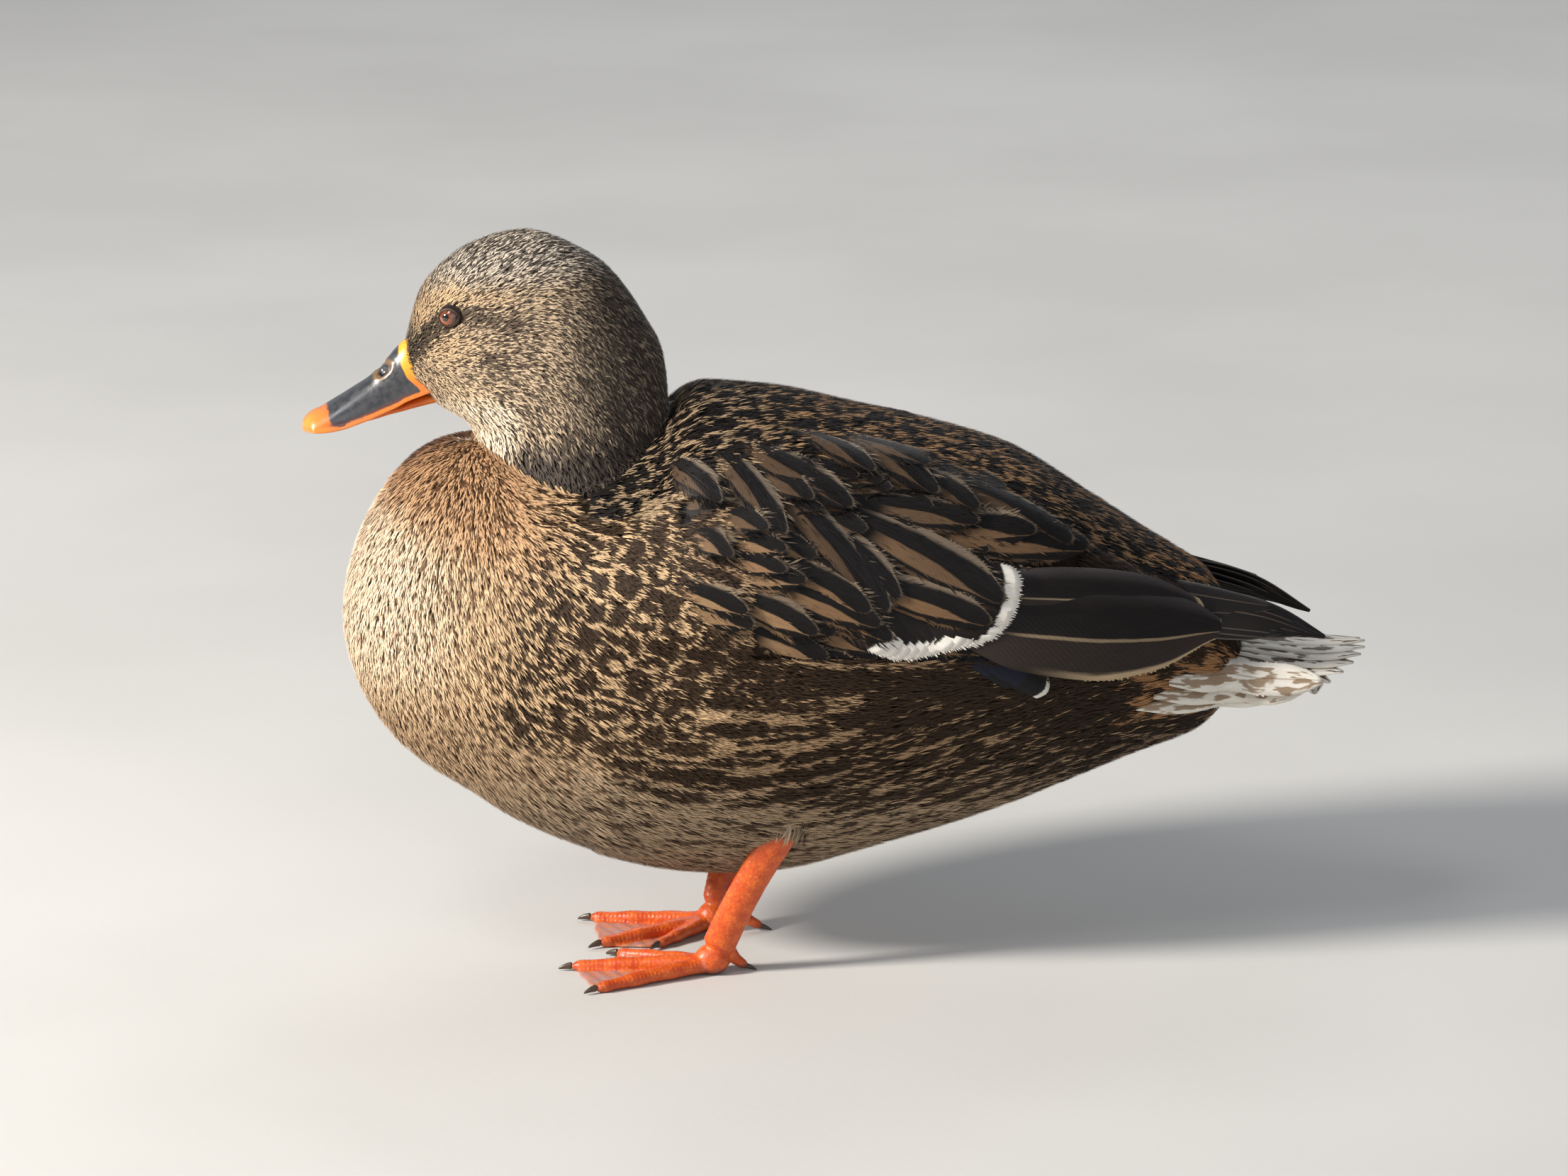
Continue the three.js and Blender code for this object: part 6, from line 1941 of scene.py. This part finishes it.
skin_mat = None
for tag in ("left", "right"):
    s = by_side(tag)
    ax, ay, az = ANKLE[s]
    hx, hy, hz = THIGH[s]
    hip, ankle = np.array([hx, s * hy, hz]), np.array([ax, s * ay, az])
    way = unit(ankle - hip)
    fore = unit(np.array([way[2], 0, -way[0]]))

    def leg_form(t, a):
        end = np.where(t <= 0, 0, np.minimum(1, np.sqrt((1 - t) * 14)))
        deep, wide = leg_half(t).T
        c = hip + (ankle - hip) * t[:, None]
        c[:, 0] -= 1.6 * np.sin(np.pi * t)
        keel = 1 + 0.06 * np.cos(2 * a)
        return np.stack([c[:, 0] + fore[0] * deep * keel * end * np.cos(a), c[:, 1] + wide * end * np.sin(a), c[:, 2] + fore[2] * deep * keel * end * np.cos(a)], -1)

    parts = [closed_form(leg_form, 40, 60)]
    knob = lambda t, a: np.stack([ax - 1 + 7.2 * np.sin(np.pi * t) * np.cos(a), s * ay + 6.0 * np.sin(np.pi * t) * np.sin(a), 5.9 + 6.3 * np.cos(np.pi * t)], -1)
    parts.append(closed_form(knob, 32, 24))
    lines = {}
    for k, (tx, ty, thick) in TOES[s].items():
        tip = np.array([tx, s * ty, 1.9])
        root = np.array([ax - 2, s * ay, 4.4])
        mid = (root + tip) / 2 + [0, 0, 0.2]
        lines[k] = (root, tip)
        f = curve([[0, thick + 0.9], [0.3, thick], [0.62, thick * 0.92], [0.75, thick * 0.80], [0.88, thick * 0.80], [1, thick * 0.62]])
        # knuckles swell a little
        parts.append(tube([root, mid, tip], lambda t, f=f: f(t) * (1 + 0.07 * np.cos(t * 19.0))[:, None] * 0.97, 28, 60, flat=1.0))
    webs = []
    for p, q in ((2, 3), (3, 4)):
        at = lambda k, u: (lines[k][0] + (lines[k][1] - lines[k][0]) * u)[:2]
        e = (at(p, 1.0) + at(q, 1.0)) / 2
        u = np.linspace(0, 1, 15)[:, None]
        rim_line = (1 - u) ** 2 * at(p, 0.95) + 2 * u * (1 - u) * e + u ** 2 * at(q, 0.95)
        rim_line = rim_line + (np.sin(u * 17) * 0.5) * np.array([[0.8, 0.2]])
        outline = [at(p, 0.02), *[at(p, v) for v in (0.3, 0.6, 0.9)], *rim_line, *[at(q, v) for v in (0.9, 0.6, 0.3)]]
        parts.append(slab(outline, 0.15, 1.25))
    back = [(ax + 4, s * (ay - 1), 13), (ax + 0.66 * HIND[s], s * (ay - 2), 5.6), (ax + HIND[s] + 1, s * (ay - 2.5), 1.6)]
    parts.append(tube(back, lambda t: np.interp(t, [0, 0.5, 1], [3.0, 2.6, 1.8])[:, None], 24, 30, ends=12))
    Vl, Fl = merged(parts)
    Vl[:, 2] = np.maximum(Vl[:, 2], 0.12)
    foot = remeshed("leg_skin_" + tag, Vl, Fl, 0.55, 12, 0.5)
    P, T = arrays(foot, False)
    NV = vertex_normals(P, [T])
    push = np.zeros(len(P))
    best = np.full(len(P), 1e9)
    seg_t = np.zeros(len(P))
    for k, (a0, b0) in lines.items():
        t, d = along_line(P, a0, b0)
        pos = t * np.linalg.norm(b0 - a0)
        closer = d < best
        best, seg_t = np.where(closer, d, best), np.where(closer, pos, seg_t)
    tl, dl = along_line(P, hip, ankle)
    leg_pos = tl * np.linalg.norm(ankle - hip)
    on_leg = smooth(10, 14, P[:, 2])
    toe_near = smooth(4.4, 2.6, best) * (1 - on_leg)
    rib = np.abs(np.sin(seg_t / 1.75 * np.pi)) ** 0.6 - 0.6
    push += 0.22 * rib * toe_near * smooth(-0.1, 0.5, NV[:, 2])
    front = NV @ unit(np.array([-1, 0, 0.35]))
    scale_l = np.abs(np.sin(leg_pos / 2.5 * np.pi + 0.0)) ** 0.55 - 0.6
    push += 0.16 * scale_l * on_leg * smooth(0.15, 0.7, front)
    wob = np.sin(P[:, 0] * 2.9 + 1.3 * np.sin(P[:, 2] * 1.7)) * np.sin(P[:, 2] * 2.6 + np.sin(P[:, 0]))
    push += 0.07 * wob * on_leg * (1 - smooth(0.15, 0.7, front))
    web_m = smooth(3.2, 4.6, best) * smooth(7.5, 4.5, P[:, 2]) * (P[:, 0] < ax - 4)
    push += 0.12 * np.sin(P[:, 0] * 1.1 + P[:, 1] * 0.5) * web_m * (NV[:, 2] > 0)
    P2 = P + NV * push[:, None]
    P2[:, 2] = np.maximum(P2[:, 2], 0.02)
    co = row(P2).astype(np.float32)
    foot.data.vertices.foreach_set("co", co.ravel())
    foot.data.update()
    # darker next to the ground under the heel, more on the left foot
    dusk = smooth(4.5, 1.2, P[:, 2]) * smooth(-16, 2, P[:, 0]) * (1.0 if s < 0 else 0.5)
    tip_m = np.zeros(len(P))
    for k, (a0, b0) in lines.items():
        tip_m = np.maximum(tip_m, smooth(5.5, 2.5, np.linalg.norm(P - b0, axis=1)))
    tip_m = np.maximum(tip_m, smooth(4.5, 2.0, np.linalg.norm(P - np.array(back[2]), axis=1)))
    set_attr(foot, "bare", np.stack([web_m, dusk, tip_m], -1))
    set_attr(foot, "ribs", np.stack([seg_t / 60, leg_pos / 70, toe_near], -1))
    if skin_mat is None:
        g = Graph("leg_skin")
        wm, dk, tp = g.parts("bare")
        n1 = g.noise(None, 240.0, 3.0)
        n2 = g.noise(None, 1300.0, 2.0)
        sc = g.cells(None, 760.0)
        col = g.mix(g.step(n1, 0.3, 0.7), srgb(200, 76, 22), srgb(222, 104, 34))
        col = g.mix(g.step(sc, 0.25, 0.75) * 0.4, col, srgb(164, 54, 20))
        webc = g.mix(g.step(n1, 0.35, 0.65), srgb(168, 132, 128), srgb(186, 120, 84))
        col = g.mix(wm * 0.92, col, webc)
        col = g.mix(dk * g.step(n1 + dk * 0.3, 0.35, 0.6) * 0.85, col, srgb(62, 48, 38))
        col = g.mix(tp * 0.35, col, srgb(120, 66, 40))
        nrm = g.bump(g.step(sc, 0.0, 0.7) * 0.7 + n2 * 0.4, 0.00022, 0.5)
        g.out(col, g.step(n2, 0.3, 0.7, lo=0.36, hi=0.52), nrm, Specular_IOR_Level=0.45, Subsurface_Weight=0.12,
              Subsurface_Radius=(0.8, 0.25, 0.12), Subsurface_Scale=0.002, Coat_Weight=0.12, Coat_Roughness=0.3)
        skin_mat = g.mat
    dress(foot, skin_mat)
    print("leg", tag, len(T), "triangles")
    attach(foot, "root")
    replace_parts(foot, "leg_" + tag, "foot_" + tag, "hallux_" + tag)
    # short feathers that close round the top of the leg
    gen = np.random.default_rng(300 + s)
    m = 420
    t0, a0 = gen.uniform(-0.14, -0.015, m), gen.uniform(0, 2 * np.pi, m)
    deep, wide = leg_half(np.clip(t0, 0, 1)).T
    rad = np.stack([fore[0] * deep * np.cos(a0), wide * np.sin(a0), fore[2] * deep * np.cos(a0)], -1)
    ru = unit(rad)
    p0 = hip + (ankle - hip) * t0[:, None] + rad + ru * gen.uniform(0.3, 1.6, m)[:, None]
    dd = unit(way + ru * gen.uniform(-0.10, 0.12, m)[:, None] + gen.normal(0, 0.10, (m, 3)) + np.array([0.10, 0, 0]))
    bb = unit(np.cross(ru, dd))
    ll = gen.uniform(6.5, 11.0, m)[:, None]
    quad = [p0 - bb * 0.4, p0 + bb * 0.4, p0 + dd * ll * 0.5 - bb * 0.48 + ru * 0.3, p0 + dd * ll * 0.5 + bb * 0.48 + ru * 0.3, p0 + dd * ll]
    Vq = np.stack(quad, 1).reshape(-1, 3)
    oq = np.arange(m)[:, None] * 5
    plq = np.stack([np.broadcast_to(np.array([-1, 1, -1, 1, 0.0]), (m, 5)), np.broadcast_to(np.array([0, 0, .5, .5, 1.0]), (m, 5)),
                    np.broadcast_to(gen.random(m)[:, None], (m, 5))], -1).reshape(-1, 3)
    mix = (gen.random(m) < 0.16)[:, None]
    shade = np.where(mix, srgb(84, 68, 54), srgb(160, 140, 116)) * gen.uniform(0.85, 1.15, (m, 1))
    c = Coat("thigh_coat_" + tag, "body_plumage", outer_mat)
    c.add(Vq, [oq + np.array([[0, 1, 3, 2]]), oq + np.array([[2, 3, 4]])], plq, np.repeat(np.arange(m), 5), p0, tone=np.repeat(shade, 5, 0))
    c.build(cells=False)
    # claws
    g = Graph("claw_horn_" + tag)
    n1 = g.noise(None, 900.0, 2.0)
    g.out(g.mix(n1, srgb(44, 34, 28), srgb(84, 66, 50)), 0.35, g.bump(n1, 0.0001, 0.4), Coat_Weight=0.2, Coat_Roughness=0.2)
    for k in (1, 2, 3, 4):
        if k == 1:
            p0, d, up_to = np.array([ax + HIND[s] - 0.8, s * (ay - 2.5), 2.3]), unit(np.array([0.8, 0, -0.12])), 5.8
            r0 = 1.35
        else:
            a0, b0 = lines[k]
            d = unit((b0 - a0) * [1, 1, 0])
            p0, up_to, r0 = b0 - d * 1.2 + [0, 0, 0.35], CLAW + 1.2, 1.5
        lat = np.array([-d[1], d[0], 0])

        def claw(t, a, p0=p0, d=d, lat=lat, L=up_to, r0=r0):
            r = r0 * np.sqrt(np.maximum(1 - t, 0)) * np.minimum(1, np.sqrt(t * 12))
            c = p0 + d * (L * t)[:, None]
            z = np.maximum(0.2, c[:, 2] + r * np.sin(a) * 1.05 - 1.3 * t * t)
            return np.stack([c[:, 0] + lat[0] * r * 0.75 * np.cos(a), c[:, 1] + lat[1] * r * 0.75 * np.cos(a), z], -1)
        Vc, Fc = closed_form(claw, 24, 20)
        ob = make_mesh(f"nail_{tag}_{k}", Vc, Fc)
        dress(ob, g.mat)
        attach(ob, "root")
        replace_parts(ob, f"claw_{tag}_{k}")


# ------------------------------------------------------------------------ stage
def floor():
    n, r = 48, np.array([0, 400, 900, 1600, 2400, 3200, 4200.0])
    a = np.arange(n) / n * 2 * np.pi
    V = [[0, 0, -0.05]] + [[q * math.cos(t), q * math.sin(t), -0.05] for q in r[1:] for t in a]
    F3 = np.array([[0, 1 + i, 1 + (i + 1) % n] for i in range(n)])
    F4 = grid_faces(len(r) - 1, n, close_v=True, base=1)
    ob = make_mesh("floor", np.array(V), [F3, F4[:, ::-1]])
    g = Graph("floor_paint")
    a1 = g.noise(None, 3.0, 3.0)
    g.out(g.mix(g.step(a1, 0.3, 0.7), srgb(196, 194, 190), srgb(204, 202, 198)), 0.85, g.bump(g.noise(None, 220.0, 2.0), 0.0002, 0.3))
    dress(ob, g.mat)


def lamp(name, at, to, size, power, colour=(1, 1, 1)):
    d = bpy.data.lights.new(name, "AREA")
    d.shape, d.size, d.energy, d.color = "DISK", size, power, colour
    ob = bpy.data.objects.new(name, d)
    bpy.context.scene.collection.objects.link(ob)
    ob.location = at
    ob.rotation_euler = (Vector(to) - Vector(at)).to_track_quat("-Z", "Y").to_euler()


floor()
lamp("key", (-2.5, -0.85, 1.45), (-0.02, 0, 0.15), 0.5, 150, (1.0, 0.95, 0.88))
lamp("fill", (0.5, -2.8, 1.2), (0, 0, 0.14), 2.2, 13, (0.95, 0.97, 1.0))
lamp("back", (0.6, 2.2, 2.1), (0, 0, 0.15), 1.8, 20, (0.95, 0.97, 1.0))
lamp("top", (-0.85, -1.15, 2.05), (-0.12, 0, 0.2), 0.7, 9, (0.97, 0.98, 1.0))
world = bpy.data.worlds.new("studio")
bpy.context.scene.world = world
world.use_nodes = True
world.node_tree.nodes["Background"].inputs["Color"].default_value = (0.80, 0.86, 0.95, 1)
world.node_tree.nodes["Background"].inputs["Strength"].default_value = 0.32
bpy.context.scene.view_settings.view_transform = "Standard"

AZ, EL, FAR = math.radians(-4), math.radians(15), 2.5
aim = Vector((-0.0218, 0, 0.1505))
cam = bpy.data.cameras.new("camera")
cam.lens, cam.sensor_width = 145, 36
cam.clip_start, cam.clip_end = 0.1, 50
eye_at = bpy.data.objects.new("camera", cam)
bpy.context.scene.collection.objects.link(eye_at)
eye_at.location = aim + FAR * Vector((math.sin(AZ) * math.cos(EL), -math.cos(AZ) * math.cos(EL), math.sin(EL)))
eye_at.rotation_euler = (aim - eye_at.location).to_track_quat("-Z", "Y").to_euler()
bpy.context.scene.camera = eye_at
